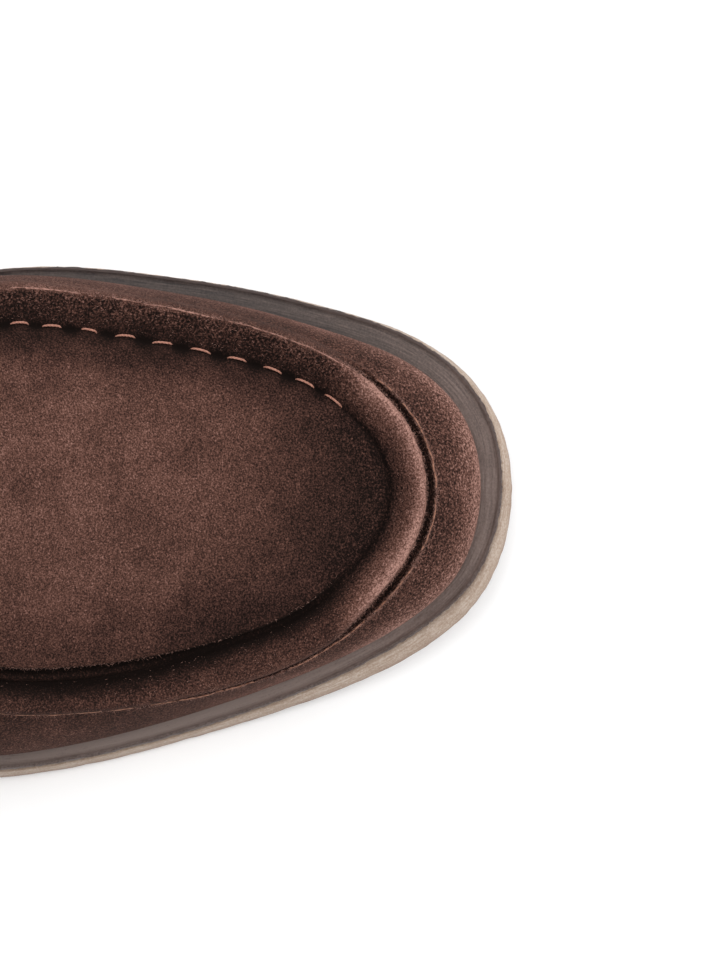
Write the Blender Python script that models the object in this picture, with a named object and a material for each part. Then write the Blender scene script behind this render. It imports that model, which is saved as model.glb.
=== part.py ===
"""Right-foot suede moccasin loafer, built piece by piece around one last.

Axes: +Z up, the toe points to -Y, +X is the medial (big toe) side.
The origin is on the floor, in the middle of the outsole's length and width.
Every length is in metres. A station is a share of the outsole's length,
0 at the back of the heel and 1 at the tip of the toe.
"""

import math
from collections import namedtuple

import bmesh
import bpy
import numpy as np

# Driving sizes of the sole
LENGTH = 0.300
BALL_WIDTH = 0.1065
OUTSOLE_THICKNESS = 0.006
MIDSOLE_THICKNESS = 0.003
INSOLE_THICKNESS = 0.003
HEEL_HEIGHT = 0.018
TOE_SPRING = 0.012
HEEL_BREAST_STATION = 0.25
TREAD_BACK_STATION = 0.60
TREAD_FRONT_STATION = 0.74
HEEL_BREAST_HOLLOW = 0.004
HEEL_SETBACK = 0.0012
HEEL_TAPER = 0.0015
OUTSOLE_FLARE = 0.0030
MIDSOLE_SETBACK = 0.0003
MIDSOLE_EDGE_ROUND = 0.0006

# Driving sizes of the upper
WALL_THICKNESS = 0.0022
WELT_SHOW = 0.0080
INSTEP_RISE = 0.070
COUNTER_RISE = 0.0595
THROAT_STATION = 0.52
TONGUE_STATION = 0.496
COLLAR_BACK_STATION = 0.027
SEAM_TOE_STATION = 0.944
APRON_SPINE_STATION = 0.80
ROLL_WIDTH = 0.0089
ROLL_HEIGHT = 0.0042
ROLL_FADE = 0.012
SIDE_OVERHANG = 0.004

# Clearances between pieces that meet
SEAT_GAP = 0.0003
INSOLE_SIDE_GAP = 0.0005

# How finely the pieces are faceted
COLUMNS_REAR = 18
COLUMNS_FRONT = 24
WALL_ROWS = 8
APRON_ROWS = 6
SOLE_COLUMNS = 72
HEEL_COLUMNS = 25
BREAST_COLUMNS = 7

# Outline of the outsole: shares of BALL_WIDTH from the middle line, medial side positive
OutlineRow = namedtuple("OutlineRow", "station lateral medial")
SOLE_BACK_OFFSET = 0.023
SOLE_TOE_OFFSET = 0.058
SOLE_OUTLINE = (
    OutlineRow(0.020, -0.163, 0.210),
    OutlineRow(0.060, -0.270, 0.316),
    OutlineRow(0.120, -0.314, 0.359),
    OutlineRow(0.190, -0.324, 0.361),
    OutlineRow(0.280, -0.337, 0.338),
    OutlineRow(0.380, -0.370, 0.310),
    OutlineRow(0.460, -0.422, 0.336),
    OutlineRow(0.540, -0.477, 0.411),
    OutlineRow(0.600, -0.500, 0.470),
    OutlineRow(0.668, -0.492, 0.500),
    OutlineRow(0.756, -0.440, 0.484),
    OutlineRow(0.812, -0.395, 0.460),
    OutlineRow(0.868, -0.344, 0.423),
    OutlineRow(0.924, -0.276, 0.371),
    OutlineRow(0.952, -0.226, 0.326),
    OutlineRow(0.980, -0.145, 0.247),
)

# How far the outsole's edge leans in towards its top: shares of OUTSOLE_FLARE
FLARE_BACK_SHARE = 0.32
FLARE_TOE_SHARE = 0.85
EDGE_FLARE = (
    OutlineRow(0.250, 0.34, 0.32),
    OutlineRow(0.600, 0.36, 0.32),
    OutlineRow(0.800, 0.42, 0.32),
    OutlineRow(0.880, 0.72, 0.34),
    OutlineRow(0.940, 1.04, 0.40),
    OutlineRow(0.980, 1.04, 0.58),
)

# Section of the outsole's edge from the bottom up: insets are shares of the flare
EdgeRow = namedtuple("EdgeRow", "inset height")
OUTSOLE_EDGE = (
    EdgeRow(0.40, 0.00),
    EdgeRow(0.00, 0.16),
    EdgeRow(0.25, 0.60),
    EdgeRow(1.00, 1.00),
)

# Section of the midsole's edge from the bottom up: insets are shares of its rounding
MIDSOLE_EDGE = (
    EdgeRow(0.0, 0.00),
    EdgeRow(0.0, 0.72),
    EdgeRow(1.0, 1.00),
)

# How far the sole shows around the upper, as shares of WELT_SHOW
MarginRow = namedtuple("MarginRow", "station share")
WELT_MARGIN = (
    MarginRow(0.00, 0.39),
    MarginRow(0.20, 0.35),
    MarginRow(0.40, 0.37),
    MarginRow(0.64, 0.53),
    MarginRow(0.80, 0.57),
    MarginRow(0.90, 0.74),
    MarginRow(1.00, 1.00),
)

# Upper edge of the side wall seen from above: the collar behind the throat, and the
# moccasin seam in front of it. Shares of BALL_WIDTH.
COLLAR_BACK_OFFSET = 0.021
SEAM_TOE_OFFSET = 0.034
WALL_TOP_OUTLINE = (
    OutlineRow(0.045, -0.120, 0.162),
    OutlineRow(0.080, -0.200, 0.241),
    OutlineRow(0.140, -0.256, 0.289),
    OutlineRow(0.220, -0.283, 0.312),
    OutlineRow(0.360, -0.295, 0.315),
    OutlineRow(0.460, -0.313, 0.331),
    OutlineRow(0.520, -0.342, 0.358),
    OutlineRow(0.560, -0.366, 0.385),
    OutlineRow(0.600, -0.388, 0.414),
    OutlineRow(0.644, -0.403, 0.437),
    OutlineRow(0.700, -0.396, 0.431),
    OutlineRow(0.770, -0.368, 0.403),
    OutlineRow(0.848, -0.301, 0.347),
    OutlineRow(0.885, -0.238, 0.296),
    OutlineRow(0.915, -0.161, 0.228),
    OutlineRow(0.930, -0.102, 0.173),
)

# Height of the collar above the seat: shares of COUNTER_RISE
COLLAR_HEIGHT = (
    OutlineRow(0.060, 0.960, 0.962),
    OutlineRow(0.110, 0.870, 0.882),
    OutlineRow(0.180, 0.765, 0.795),
    OutlineRow(0.270, 0.675, 0.725),
    OutlineRow(0.360, 0.665, 0.722),
    OutlineRow(0.440, 0.755, 0.800),
)

# How far the side wall bellies out over its foot: shares of SIDE_OVERHANG
BELLY_BACK_SHARE = 0.70
BELLY_TOE_SHARE = 0.20
SIDE_BELLY = (
    OutlineRow(0.10, 0.50, 0.55),
    OutlineRow(0.25, 0.45, 0.75),
    OutlineRow(0.40, 0.60, 1.00),
    OutlineRow(0.52, 0.45, 0.70),
    OutlineRow(0.64, 0.22, 0.25),
)

# Top line of the last: rise and crown as shares of INSTEP_RISE, offset of BALL_WIDTH.
# The crown is how far the surface drops half a ball width beside the ridge.
RidgeRow = namedtuple("RidgeRow", "station rise offset crown")
RIDGE = (
    RidgeRow(0.440, 1.065, 0.019, 0.428),
    RidgeRow(0.500, 0.978, 0.023, 0.394),
    RidgeRow(0.550, 0.873, 0.028, 0.358),
    RidgeRow(0.600, 0.765, 0.033, 0.327),
    RidgeRow(0.650, 0.666, 0.036, 0.305),
    RidgeRow(0.700, 0.582, 0.035, 0.297),
    RidgeRow(0.750, 0.510, 0.030, 0.290),
    RidgeRow(0.800, 0.446, 0.021, 0.277),
    RidgeRow(0.850, 0.386, 0.015, 0.267),
    RidgeRow(0.900, 0.318, 0.011, 0.257),
    RidgeRow(0.945, 0.250, 0.007, 0.250),
)

# Section of the rolled moccasin seam, from the side wall in towards the apron
RollRow = namedtuple("RollRow", "across height")
ROLL_SECTION = (
    RollRow(0.10, 0.60),
    RollRow(0.32, 0.97),
    RollRow(0.58, 0.96),
    RollRow(0.80, 0.56),
    RollRow(0.96, -0.24),
    RollRow(1.12, -0.22),
)

FULL_TURN = 2 * math.pi
BELLY_HEIGHT_SHARE = 0.3
TURN_STEP = 0.01
SURFACE_STEP = 0.0005
SHARP_ANGLE = math.radians(42)

# Loop on which the upper edge of the side wall runs
WALL_LOOP = (COLLAR_BACK_STATION, SEAM_TOE_STATION)


def spline(knots, values, at, period=None):
    """Curve of continuous curvature through the values; it closes on itself over a period."""
    k, v = np.asarray(knots, float), np.asarray(values, float)
    at = np.asarray(at, float)
    if period:
        k, v = np.append(k, k[0] + period), np.append(v, v[0])
        at = k[0] + (at - k[0]) % period
    gap, count = np.diff(k), len(k)
    slope = np.diff(v) / gap
    system, right = np.eye(count), np.zeros(count)
    for i in range(1, count - 1):
        system[i, i - 1 : i + 2] = gap[i - 1], 2 * (gap[i - 1] + gap[i]), gap[i]
        right[i] = 6 * (slope[i] - slope[i - 1])
    if period:
        system[0, -1] = -1.0
        system[-1] = 0.0
        system[-1, 0], system[-1, 1] = 2 * (gap[-1] + gap[0]), gap[0]
        system[-1, -2] += gap[-1]
        right[-1] = 6 * (slope[0] - slope[-1])
    bend = np.linalg.solve(system, right)
    i = np.clip(np.searchsorted(k, at, side="right") - 1, 0, count - 2)
    a = (k[i + 1] - at) / gap[i]
    b = 1 - a
    curve = (a**3 - a) * bend[i] + (b**3 - b) * bend[i + 1]
    return a * v[i] + b * v[i + 1] + curve * gap[i] ** 2 / 6


def column(rows, name):
    """One named column of a table."""
    return [getattr(row, name) for row in rows]


def ease(share):
    """Smooth step from 0 to 1."""
    t = np.clip(share, 0.0, 1.0)
    return t * t * (3 - 2 * t)


def turn_at(station, back=0.0, front=1.0):
    """Angle along a loop whose ends lie at two stations: 0 at the heel, pi at the toe."""
    return np.arccos(np.clip(1 - 2 * (np.asarray(station) - back) / (front - back), -1, 1))


def station_at(turn, back=0.0, front=1.0):
    """Station of a point of such a loop."""
    return back + (front - back) * (1 - np.cos(turn)) / 2


def y_of(station):
    """Place along the shoe of a station."""
    return LENGTH * (0.5 - np.asarray(station))


def station_of(y):
    """Station of a place along the shoe."""
    return 0.5 - np.asarray(y) / LENGTH


def around(rows, back_value, toe_value, turn, back=0.0, front=1.0):
    """A two-sided table read round the whole loop, from the heel along the lateral side."""
    turns = turn_at(column(rows, "station"), back, front)
    knots = [0.0, *turns, math.pi, *(FULL_TURN - turns[::-1])]
    lateral, medial = column(rows, "lateral"), column(rows, "medial")
    return spline(knots, [back_value, *lateral, toe_value, *medial[::-1]], turn, FULL_TURN)


def outward(curve, turn):
    """Horizontal outward normals of a closed curve that runs anticlockwise."""
    ahead_x, ahead_y = curve(turn + TURN_STEP)
    behind_x, behind_y = curve(turn - TURN_STEP)
    dx, dy = ahead_x - behind_x, ahead_y - behind_y
    length = np.hypot(dx, dy)
    return dy / length, -dx / length


def tread(y):
    """Height of the outsole's underside: heel seat, waist, flat tread and toe spring."""
    station = station_of(y)
    waist = ease((station - HEEL_BREAST_STATION) / (TREAD_BACK_STATION - HEEL_BREAST_STATION))
    toe = np.clip((station - TREAD_FRONT_STATION) / (1 - TREAD_FRONT_STATION), 0, None)
    return HEEL_HEIGHT * (1 - waist) + TOE_SPRING * toe**2


def midsole_bottom(y):
    """Height of the midsole's underside, just above the outsole."""
    return tread(y) + OUTSOLE_THICKNESS + SEAT_GAP


def seat(y):
    """Height at which the upper and the insole rest, just above the midsole."""
    return midsole_bottom(y) + MIDSOLE_THICKNESS + SEAT_GAP


def sole_outline(turn):
    """Outline of the outsole at its widest."""
    x = BALL_WIDTH * around(SOLE_OUTLINE, SOLE_BACK_OFFSET, SOLE_TOE_OFFSET, turn)
    return x, y_of(station_at(turn))


def sole_ring(turn, inset):
    """Closed ring inside the outsole's outline, an inset in from it."""
    x, y = sole_outline(turn)
    nx, ny = outward(sole_outline, turn)
    return x - nx * inset, y - ny * inset


def edge_flare(turn):
    """How far the outsole's top edge lies inside its widest outline."""
    return OUTSOLE_FLARE * around(EDGE_FLARE, FLARE_BACK_SHARE, FLARE_TOE_SHARE, turn)


def welt_margin(turn):
    """Width of sole that shows around the foot of the upper."""
    stations = column(WELT_MARGIN, "station")
    return WELT_SHOW * spline(stations, column(WELT_MARGIN, "share"), station_at(turn))


def top_surface(x, y):
    """The last's upper surface: a ridge with rounded shoulders."""
    stations, station = column(RIDGE, "station"), station_of(y)
    rise = INSTEP_RISE * spline(stations, column(RIDGE, "rise"), station)
    offset = BALL_WIDTH * spline(stations, column(RIDGE, "offset"), station)
    crown = INSTEP_RISE * spline(stations, column(RIDGE, "crown"), station)
    return seat(y) + rise - crown * ((x - offset) / (BALL_WIDTH / 2)) ** 2


def on_top(x, y):
    """A row of points on the last's upper surface."""
    return np.stack([x, y, top_surface(x, y)], axis=1)


def top_normals(points):
    """Outward normals of the last's upper surface."""
    x, y = points[:, 0], points[:, 1]
    h = SURFACE_STEP
    slope_x = (top_surface(x + h, y) - top_surface(x - h, y)) / (2 * h)
    slope_y = (top_surface(x, y + h) - top_surface(x, y - h)) / (2 * h)
    normal = np.stack([-slope_x, -slope_y, np.ones_like(x)], axis=1)
    return normal / np.linalg.norm(normal, axis=1, keepdims=True)


def collar_rise(turn, lateral_corner, medial_corner):
    """Height of the collar above the seat, between the two corners of the throat."""
    turns = turn_at(column(COLLAR_HEIGHT, "station"), *WALL_LOOP)
    corner = turn_at(THROAT_STATION, *WALL_LOOP)
    knots = [-corner, *(-turns[::-1]), 0.0, *turns, corner]
    medial = [COUNTER_RISE * share for share in column(COLLAR_HEIGHT, "medial")]
    lateral = [COUNTER_RISE * share for share in column(COLLAR_HEIGHT, "lateral")]
    values = [medial_corner, *medial[::-1], COUNTER_RISE, *lateral, lateral_corner]
    signed = (np.asarray(turn) + math.pi) % FULL_TURN - math.pi
    return spline(knots, values, signed)


def wall_turns():
    """Loop angles of the upper's columns: even behind the throat and in front of it."""
    corner = turn_at(THROAT_STATION, *WALL_LOOP)
    rear = np.linspace(0, corner, COLUMNS_REAR, endpoint=False)
    front = np.linspace(corner, math.pi, COLUMNS_FRONT, endpoint=False)
    lateral = np.concatenate([rear, front])
    return np.concatenate([lateral, [math.pi], FULL_TURN - lateral[:0:-1]])


def wall_top_outline(turn):
    """Upper edge of the side wall seen from above."""
    x = BALL_WIDTH * around(WALL_TOP_OUTLINE, COLLAR_BACK_OFFSET, SEAM_TOE_OFFSET, turn, *WALL_LOOP)
    return x, y_of(station_at(turn, *WALL_LOOP))


def wall_top(turn):
    """Upper edge of the side wall: the collar behind the throat, the seam in front of it."""
    x, y = wall_top_outline(turn)
    z = top_surface(x, y)
    lateral, medial = COLUMNS_REAR, len(turn) - COLUMNS_REAR
    rise = z - seat(y)
    collar = np.r_[0 : lateral + 1, medial : len(turn)]
    z[collar] = (seat(y) + collar_rise(turn, rise[lateral], rise[medial]))[collar]
    return np.stack([x, y, z], axis=1)


def wall_base(turn):
    """Rows of the side wall from its foot on the midsole up to its top edge."""
    foot_x, foot_y = sole_ring(turn, welt_margin(turn))
    foot = np.stack([foot_x, foot_y, seat(foot_y)], axis=1)
    top = wall_top(turn)
    nx, ny = outward(sole_outline, turn)
    normal = np.stack([nx, ny, np.zeros_like(nx)], axis=1)
    lean = ((top - foot) * normal).sum(axis=1)
    belly = SIDE_OVERHANG * around(SIDE_BELLY, BELLY_BACK_SHARE, BELLY_TOE_SHARE, turn)
    v = BELLY_HEIGHT_SHARE
    middle_offset = (belly - v * (2 * v - 1) * lean) / (4 * v * (1 - v))
    middle = (foot + top) / 2 + normal * (middle_offset - lean / 2)[:, None]
    rows = []
    for v in np.linspace(0, 1, WALL_ROWS + 1):
        row = foot * (1 - v) * (1 - 2 * v) + middle * 4 * v * (1 - v) + top * v * (2 * v - 1)
        rows.append(row)
    return rows


def front_columns(count):
    """Indices of the columns from the lateral throat corner round the toe to the medial one."""
    return np.arange(COLUMNS_REAR, count - COLUMNS_REAR + 1)


def apron_spine(turn):
    """Points down the middle of the apron, one for each front column."""
    corner = turn[0]
    share = (np.minimum(turn, FULL_TURN - turn) - corner) / (math.pi - corner)
    station = TONGUE_STATION + (APRON_SPINE_STATION - TONGUE_STATION) * np.clip(share, 0, 1)
    offset = spline(column(RIDGE, "station"), column(RIDGE, "offset"), station)
    return BALL_WIDTH * offset, y_of(station)


def apron_base(turn):
    """Rows inward from the seam: across its roll, then over the apron to the spine."""
    front = turn[front_columns(len(turn))]
    edge_x, edge_y = wall_top_outline(front)
    nx, ny = outward(wall_top_outline, front)
    nx[[0, -1]] = -1.0, 1.0
    ny[[0, -1]] = 0.0
    rows = []
    for row in ROLL_SECTION:
        inward = ROLL_WIDTH * row.across
        rows.append(on_top(edge_x - nx * inward, edge_y - ny * inward))
    groove_x, groove_y = rows[-1][:, 0], rows[-1][:, 1]
    spine_x, spine_y = apron_spine(front)
    for share in np.linspace(0, 1, APRON_ROWS + 1)[1:]:
        bow = share * (2 - share)
        x = groove_x + (spine_x - groove_x) * share
        y = groove_y + (spine_y - groove_y) * bow
        rows.append(on_top(x, y))
    return rows


def ring_normals(rows):
    """Outward normals of a stack of closed rings, from the directions along and across."""
    grid = np.stack(rows)
    along = np.roll(grid, -1, axis=1) - np.roll(grid, 1, axis=1)
    normal = np.cross(along, np.gradient(grid, axis=0))
    return normal / np.linalg.norm(normal, axis=2, keepdims=True)


def roll_fade(edge):
    """Share of the roll's full height at each front column: it dies away at the throat."""
    step = np.linalg.norm(np.diff(edge, axis=0), axis=1)
    run = np.concatenate([[0.0], np.cumsum(step)])
    return ease(np.minimum(run, run[-1] - run) / ROLL_FADE)[:, None]


def upper_shell():
    """Outer and inner rows of the upper: wall rings, then the open rows of roll and apron."""
    turn = wall_turns()
    wall, apron = wall_base(turn), apron_base(turn)
    front = front_columns(len(turn))
    wall_normals = ring_normals(wall)
    side, over = wall_normals[-1][front], top_normals(wall[-1][front])
    mitre = (side + over) / (1 + (side * over).sum(axis=1, keepdims=True))
    wall_normals[-1][front] = mitre
    apron_normals = [top_normals(row) for row in apron]
    fade = roll_fade(apron[0])
    outer_apron = list(apron)
    for i, row in enumerate(ROLL_SECTION):
        relief = apron_normals[i] * ROLL_HEIGHT * fade
        outer_apron[i] = apron[i] + relief * row.height
        apron[i] = apron[i] + relief * min(row.height, 0.0)
    inner_wall = [row - WALL_THICKNESS * n for row, n in zip(wall, wall_normals)]
    inner_wall[0][:, 2] = seat(inner_wall[0][:, 1])
    inner_apron = [row - WALL_THICKNESS * n for row, n in zip(apron, apron_normals)]
    return wall, outer_apron, inner_wall, inner_apron


class Skin:
    """Points and faces of one piece, gathered row by row."""

    def __init__(self):
        self.mesh = bmesh.new()

    def add(self, points):
        """Adds a row of points and returns their vertices."""
        return [self.mesh.verts.new(point) for point in points]

    def strip(self, first, second, closed=True):
        """Faces between two rows of equal length."""
        count = len(first)
        for i in range(count if closed else count - 1):
            j = (i + 1) % count
            self.face(first[i], first[j], second[j], second[i])

    def face(self, *corners):
        """One face, with corners that coincide counted once."""
        distinct = [c for i, c in enumerate(corners) if c not in corners[:i]]
        if len(distinct) > 2:
            self.mesh.faces.new(distinct)

    def cap(self, ring):
        """Faces across a closed ring whose two halves mirror each other's stations."""
        count = len(ring)
        for i in range(count // 2):
            self.face(ring[i], ring[i + 1], ring[count - i - 1], ring[(count - i) % count])

    def finish(self, name, material):
        """Makes the object, with its faces turned outward and its edges smooth."""
        bmesh.ops.recalc_face_normals(self.mesh, faces=self.mesh.faces)
        data = bpy.data.meshes.new(name)
        self.mesh.to_mesh(data)
        self.mesh.free()
        data.materials.append(material)
        data.shade_smooth()
        data.set_sharp_from_angle(angle=SHARP_ANGLE)
        item = bpy.data.objects.new(name, data)
        bpy.context.scene.collection.objects.link(item)
        return item


def shell_side(skin, wall, apron):
    """One face of the upper: wall rings and apron rows that share the seam and the spine."""
    rings = [skin.add(row) for row in wall]
    for lower, upper in zip(rings, rings[1:]):
        skin.strip(lower, upper)
    front = front_columns(len(wall[0]))
    rows = [[rings[-1][i] for i in front]]
    rows += [skin.add(row) for row in apron[:-1]]
    spine = skin.add(apron[-1][: len(front) // 2 + 1])
    rows.append(spine + spine[-2::-1])
    for lower, upper in zip(rows, rows[1:]):
        skin.strip(lower, upper, closed=False)
    return rings, rows


def collar_path(rings, rows):
    """The collar's edge as one loop: the topline, then across the throat and back."""
    count = len(rings[-1])
    around_heel = range(count - COLUMNS_REAR, count + COLUMNS_REAR + 1)
    topline = [rings[-1][i % count] for i in around_heel]
    lateral = [row[0] for row in rows[1:]]
    medial = [row[-1] for row in rows[-2:0:-1]]
    return topline + lateral + medial


def make_upper(material):
    """Side wall, rolled moccasin seam and apron in one hollow piece, open at collar and foot."""
    wall, apron, inner_wall, inner_apron = upper_shell()
    skin = Skin()
    outer_rings, outer_rows = shell_side(skin, wall, apron)
    inner_rings, inner_rows = shell_side(skin, inner_wall, inner_apron)
    skin.strip(outer_rings[0], inner_rings[0])
    skin.strip(collar_path(outer_rings, outer_rows), collar_path(inner_rings, inner_rows))
    skin.finish("upper", material)


def make_plate(name, material, insets, heights):
    """A plate that follows the sole: one ring for each inset and height, capped both ways."""
    turn = np.linspace(0, FULL_TURN, SOLE_COLUMNS, endpoint=False)
    skin = Skin()
    rings = []
    for inset, height in zip(insets, heights):
        x, y = sole_ring(turn, inset(turn))
        rings.append(skin.add(np.stack([x, y, height(y)], axis=1)))
    for lower, upper in zip(rings, rings[1:]):
        skin.strip(lower, upper)
    skin.cap(rings[0])
    skin.cap(rings[-1])
    skin.finish(name, material)


def make_outsole(material):
    """Tan sole with arch, toe spring and an edge that leans in towards its top."""
    insets = [lambda turn, row=row: edge_flare(turn) * row.inset for row in OUTSOLE_EDGE]
    heights = [lambda y, row=row: tread(y) + OUTSOLE_THICKNESS * row.height for row in OUTSOLE_EDGE]
    make_plate("outsole", material, insets, heights)


def make_midsole(material):
    """Dark plate between outsole and upper, whose rounded rim shows round the shoe."""
    insets = [
        lambda turn, row=row: edge_flare(turn) + MIDSOLE_SETBACK + MIDSOLE_EDGE_ROUND * row.inset
        for row in MIDSOLE_EDGE
    ]
    heights = [
        lambda y, row=row: midsole_bottom(y) + MIDSOLE_THICKNESS * row.height
        for row in MIDSOLE_EDGE
    ]
    make_plate("midsole", material, insets, heights)


def make_insole(material):
    """Footbed on the midsole, inside the foot of the upper."""

    def inset(turn):
        return welt_margin(turn) + WALL_THICKNESS + INSOLE_SIDE_GAP

    def top(y):
        return seat(y) + INSOLE_THICKNESS

    make_plate("insole", material, (inset, inset), (seat, top))


def heel_ring(inset):
    """Ring round the heel block: the back of the sole's outline, then the hollow breast."""
    reach = turn_at(HEEL_BREAST_STATION)
    x, y = sole_ring(np.linspace(-reach, reach, HEEL_COLUMNS), inset)
    side = np.linspace(-1, 1, BREAST_COLUMNS)[1:-1]
    breast_x = (x[0] + x[-1]) / 2 + (x[0] - x[-1]) / 2 * side
    breast_y = (y[0] + y[-1]) / 2 + (y[0] - y[-1]) / 2 * side + HEEL_BREAST_HOLLOW * (1 - side**2)
    return np.concatenate([x, breast_x]), np.concatenate([y, breast_y])


def make_heel(material):
    """Heel block under the seat, a little narrower at the floor."""
    skin = Skin()
    rings = []
    for inset, height in ((HEEL_SETBACK + HEEL_TAPER, 0.0), (HEEL_SETBACK, HEEL_HEIGHT - SEAT_GAP)):
        x, y = heel_ring(inset)
        rings.append(skin.add(np.stack([x, y, np.full_like(x, height)], axis=1)))
    skin.strip(rings[0], rings[1])
    for ring in rings:
        skin.face(*ring)
    skin.finish("heel", material)


def finish(name, colour, roughness):
    """A plain non-metal finish."""
    material = bpy.data.materials.new(name)
    material.use_nodes = True
    surface = material.node_tree.nodes["Principled BSDF"]
    surface.inputs["Base Color"].default_value = (*colour, 1.0)
    surface.inputs["Roughness"].default_value = roughness
    surface.inputs["Metallic"].default_value = 0.0
    return material


def main():
    """Empties the scene and builds the shoe."""
    for item in list(bpy.data.objects):
        bpy.data.objects.remove(item)
    make_outsole(finish("sanded tan crepe rubber", (0.36, 0.25, 0.19), 0.75))
    make_heel(finish("tan rubber heel", (0.30, 0.20, 0.15), 0.75))
    make_midsole(finish("dark brown leather midsole", (0.12, 0.075, 0.06), 0.6))
    make_insole(finish("brown leather footbed", (0.20, 0.12, 0.08), 0.6))
    make_upper(finish("dark brown suede", (0.07, 0.04, 0.032), 0.95))


main()
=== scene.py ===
"""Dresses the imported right-foot moccasin loafer: suede upper, hand-sewn seam and layered sole.

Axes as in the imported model: +Z up, the toe points to -Y, +X is the medial (big toe) side.
Lengths are in metres unless a name ends in _mm or a comment says otherwise. A station is a
share of the outsole's length, 0 at the back of the heel and 1 at the tip of the toe.
"""

import logging
import math
from dataclasses import dataclass
from enum import Enum
from typing import Callable, Sequence

import bpy
import numpy as np
from mathutils import Matrix, Vector

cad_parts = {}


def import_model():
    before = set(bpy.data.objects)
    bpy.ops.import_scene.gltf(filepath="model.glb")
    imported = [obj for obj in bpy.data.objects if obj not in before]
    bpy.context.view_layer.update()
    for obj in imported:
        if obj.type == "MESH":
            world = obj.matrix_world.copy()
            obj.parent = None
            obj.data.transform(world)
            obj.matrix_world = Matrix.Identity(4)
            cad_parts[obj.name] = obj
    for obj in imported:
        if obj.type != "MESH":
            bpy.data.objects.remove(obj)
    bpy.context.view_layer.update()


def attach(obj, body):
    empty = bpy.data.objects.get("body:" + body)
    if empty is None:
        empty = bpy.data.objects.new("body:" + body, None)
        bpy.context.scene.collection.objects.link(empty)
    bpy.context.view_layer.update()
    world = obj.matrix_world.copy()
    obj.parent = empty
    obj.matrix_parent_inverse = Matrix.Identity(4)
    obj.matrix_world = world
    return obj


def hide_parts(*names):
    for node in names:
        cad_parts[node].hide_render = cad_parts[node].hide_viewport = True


LOG = logging.getLogger("loafer")
IMAGE_SIZE = (720, 960)
FULL_TURN = 2 * math.pi
MM = 0.001

Rows = Sequence[Sequence[float]]


class Body(Enum):
    """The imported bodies."""

    ROOT = "root"


class Part(Enum):
    """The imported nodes, which are the record's material slots too."""

    OUTSOLE = "outsole"
    HEEL = "heel"
    MIDSOLE = "midsole"
    INSOLE = "insole"
    UPPER = "upper"


def linear(code: str) -> tuple[float, float, float, float]:
    """Turns an sRGB hex colour to linear light.

    Args:
        code: Six hex digits after a hash sign.

    Returns:
        Red, green, blue and alpha.
    """
    parts = [int(code[i : i + 2], 16) / 255 for i in (1, 3, 5)]
    tones = [c / 12.92 if c <= 0.04045 else ((c + 0.055) / 1.055) ** 2.4 for c in parts]
    return tones[0], tones[1], tones[2], 1.0


def ease(share: np.ndarray | float) -> np.ndarray:
    """Smooth step from 0 to 1."""
    t = np.clip(share, 0.0, 1.0)
    return t * t * (3 - 2 * t)


def column(rows: Rows, index: int) -> np.ndarray:
    """One column of a table."""
    return np.array([row[index] for row in rows], float)


def spline(
    knots: Sequence[float], values: Sequence[float], at: np.ndarray, period: float = 0.0
) -> np.ndarray:
    """Curve of continuous curvature through the values.

    Args:
        knots: Rising places of the values.
        values: The values to pass through.
        at: Where to read the curve.
        period: Length after which the curve closes on itself, or 0 for an open curve.

    Returns:
        The curve's values.
    """
    k, v = np.asarray(knots, float), np.asarray(values, float)
    at = np.asarray(at, float)
    if period:
        k, v = np.append(k, k[0] + period), np.append(v, v[0])
        at = k[0] + (at - k[0]) % period
    gap, count = np.diff(k), len(k)
    slope = np.diff(v) / gap
    system, right = np.eye(count), np.zeros(count)
    for i in range(1, count - 1):
        system[i, i - 1 : i + 2] = gap[i - 1], 2 * (gap[i - 1] + gap[i]), gap[i]
        right[i] = 6 * (slope[i] - slope[i - 1])
    if period:
        system[0, -1] = -1.0
        system[-1] = 0.0
        system[-1, 0], system[-1, 1] = 2 * (gap[-1] + gap[0]), gap[0]
        system[-1, -2] += gap[-1]
        right[-1] = 6 * (slope[0] - slope[-1])
    bend = np.linalg.solve(system, right)
    i = np.clip(np.searchsorted(k, at, side="right") - 1, 0, count - 2)
    a = (k[i + 1] - at) / gap[i]
    b = 1 - a
    curve = (a**3 - a) * bend[i] + (b**3 - b) * bend[i + 1]
    return a * v[i] + b * v[i + 1] + curve * gap[i] ** 2 / 6


def turn_at(station: np.ndarray | float, back: float = 0.0, front: float = 1.0) -> np.ndarray:
    """Angle along a loop between two stations: 0 at its heel end, pi at its toe end."""
    return np.arccos(np.clip(1 - 2 * (np.asarray(station) - back) / (front - back), -1, 1))


def station_at(turn: np.ndarray, back: float = 0.0, front: float = 1.0) -> np.ndarray:
    """Station of a point of such a loop."""
    return back + (front - back) * (1 - np.cos(turn)) / 2


def around(
    rows: Rows, back_value: float, toe_value: float, turn: np.ndarray, back: float = 0.0, front: float = 1.0
) -> np.ndarray:
    """Reads a two-sided table round a whole loop, from the heel along the lateral side.

    Args:
        rows: Rows of station, lateral value and medial value.
        back_value: Value at the loop's heel end.
        toe_value: Value at its toe end.
        turn: Loop angles to read at.
        back: Station of the heel end.
        front: Station of the toe end.

    Returns:
        The values at those angles.
    """
    turns = turn_at(column(rows, 0), back, front)
    knots = [0.0, *turns, math.pi, *(FULL_TURN - turns[::-1])]
    values = [back_value, *column(rows, 1), toe_value, *column(rows, 2)[::-1]]
    return spline(knots, values, turn, FULL_TURN)


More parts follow.
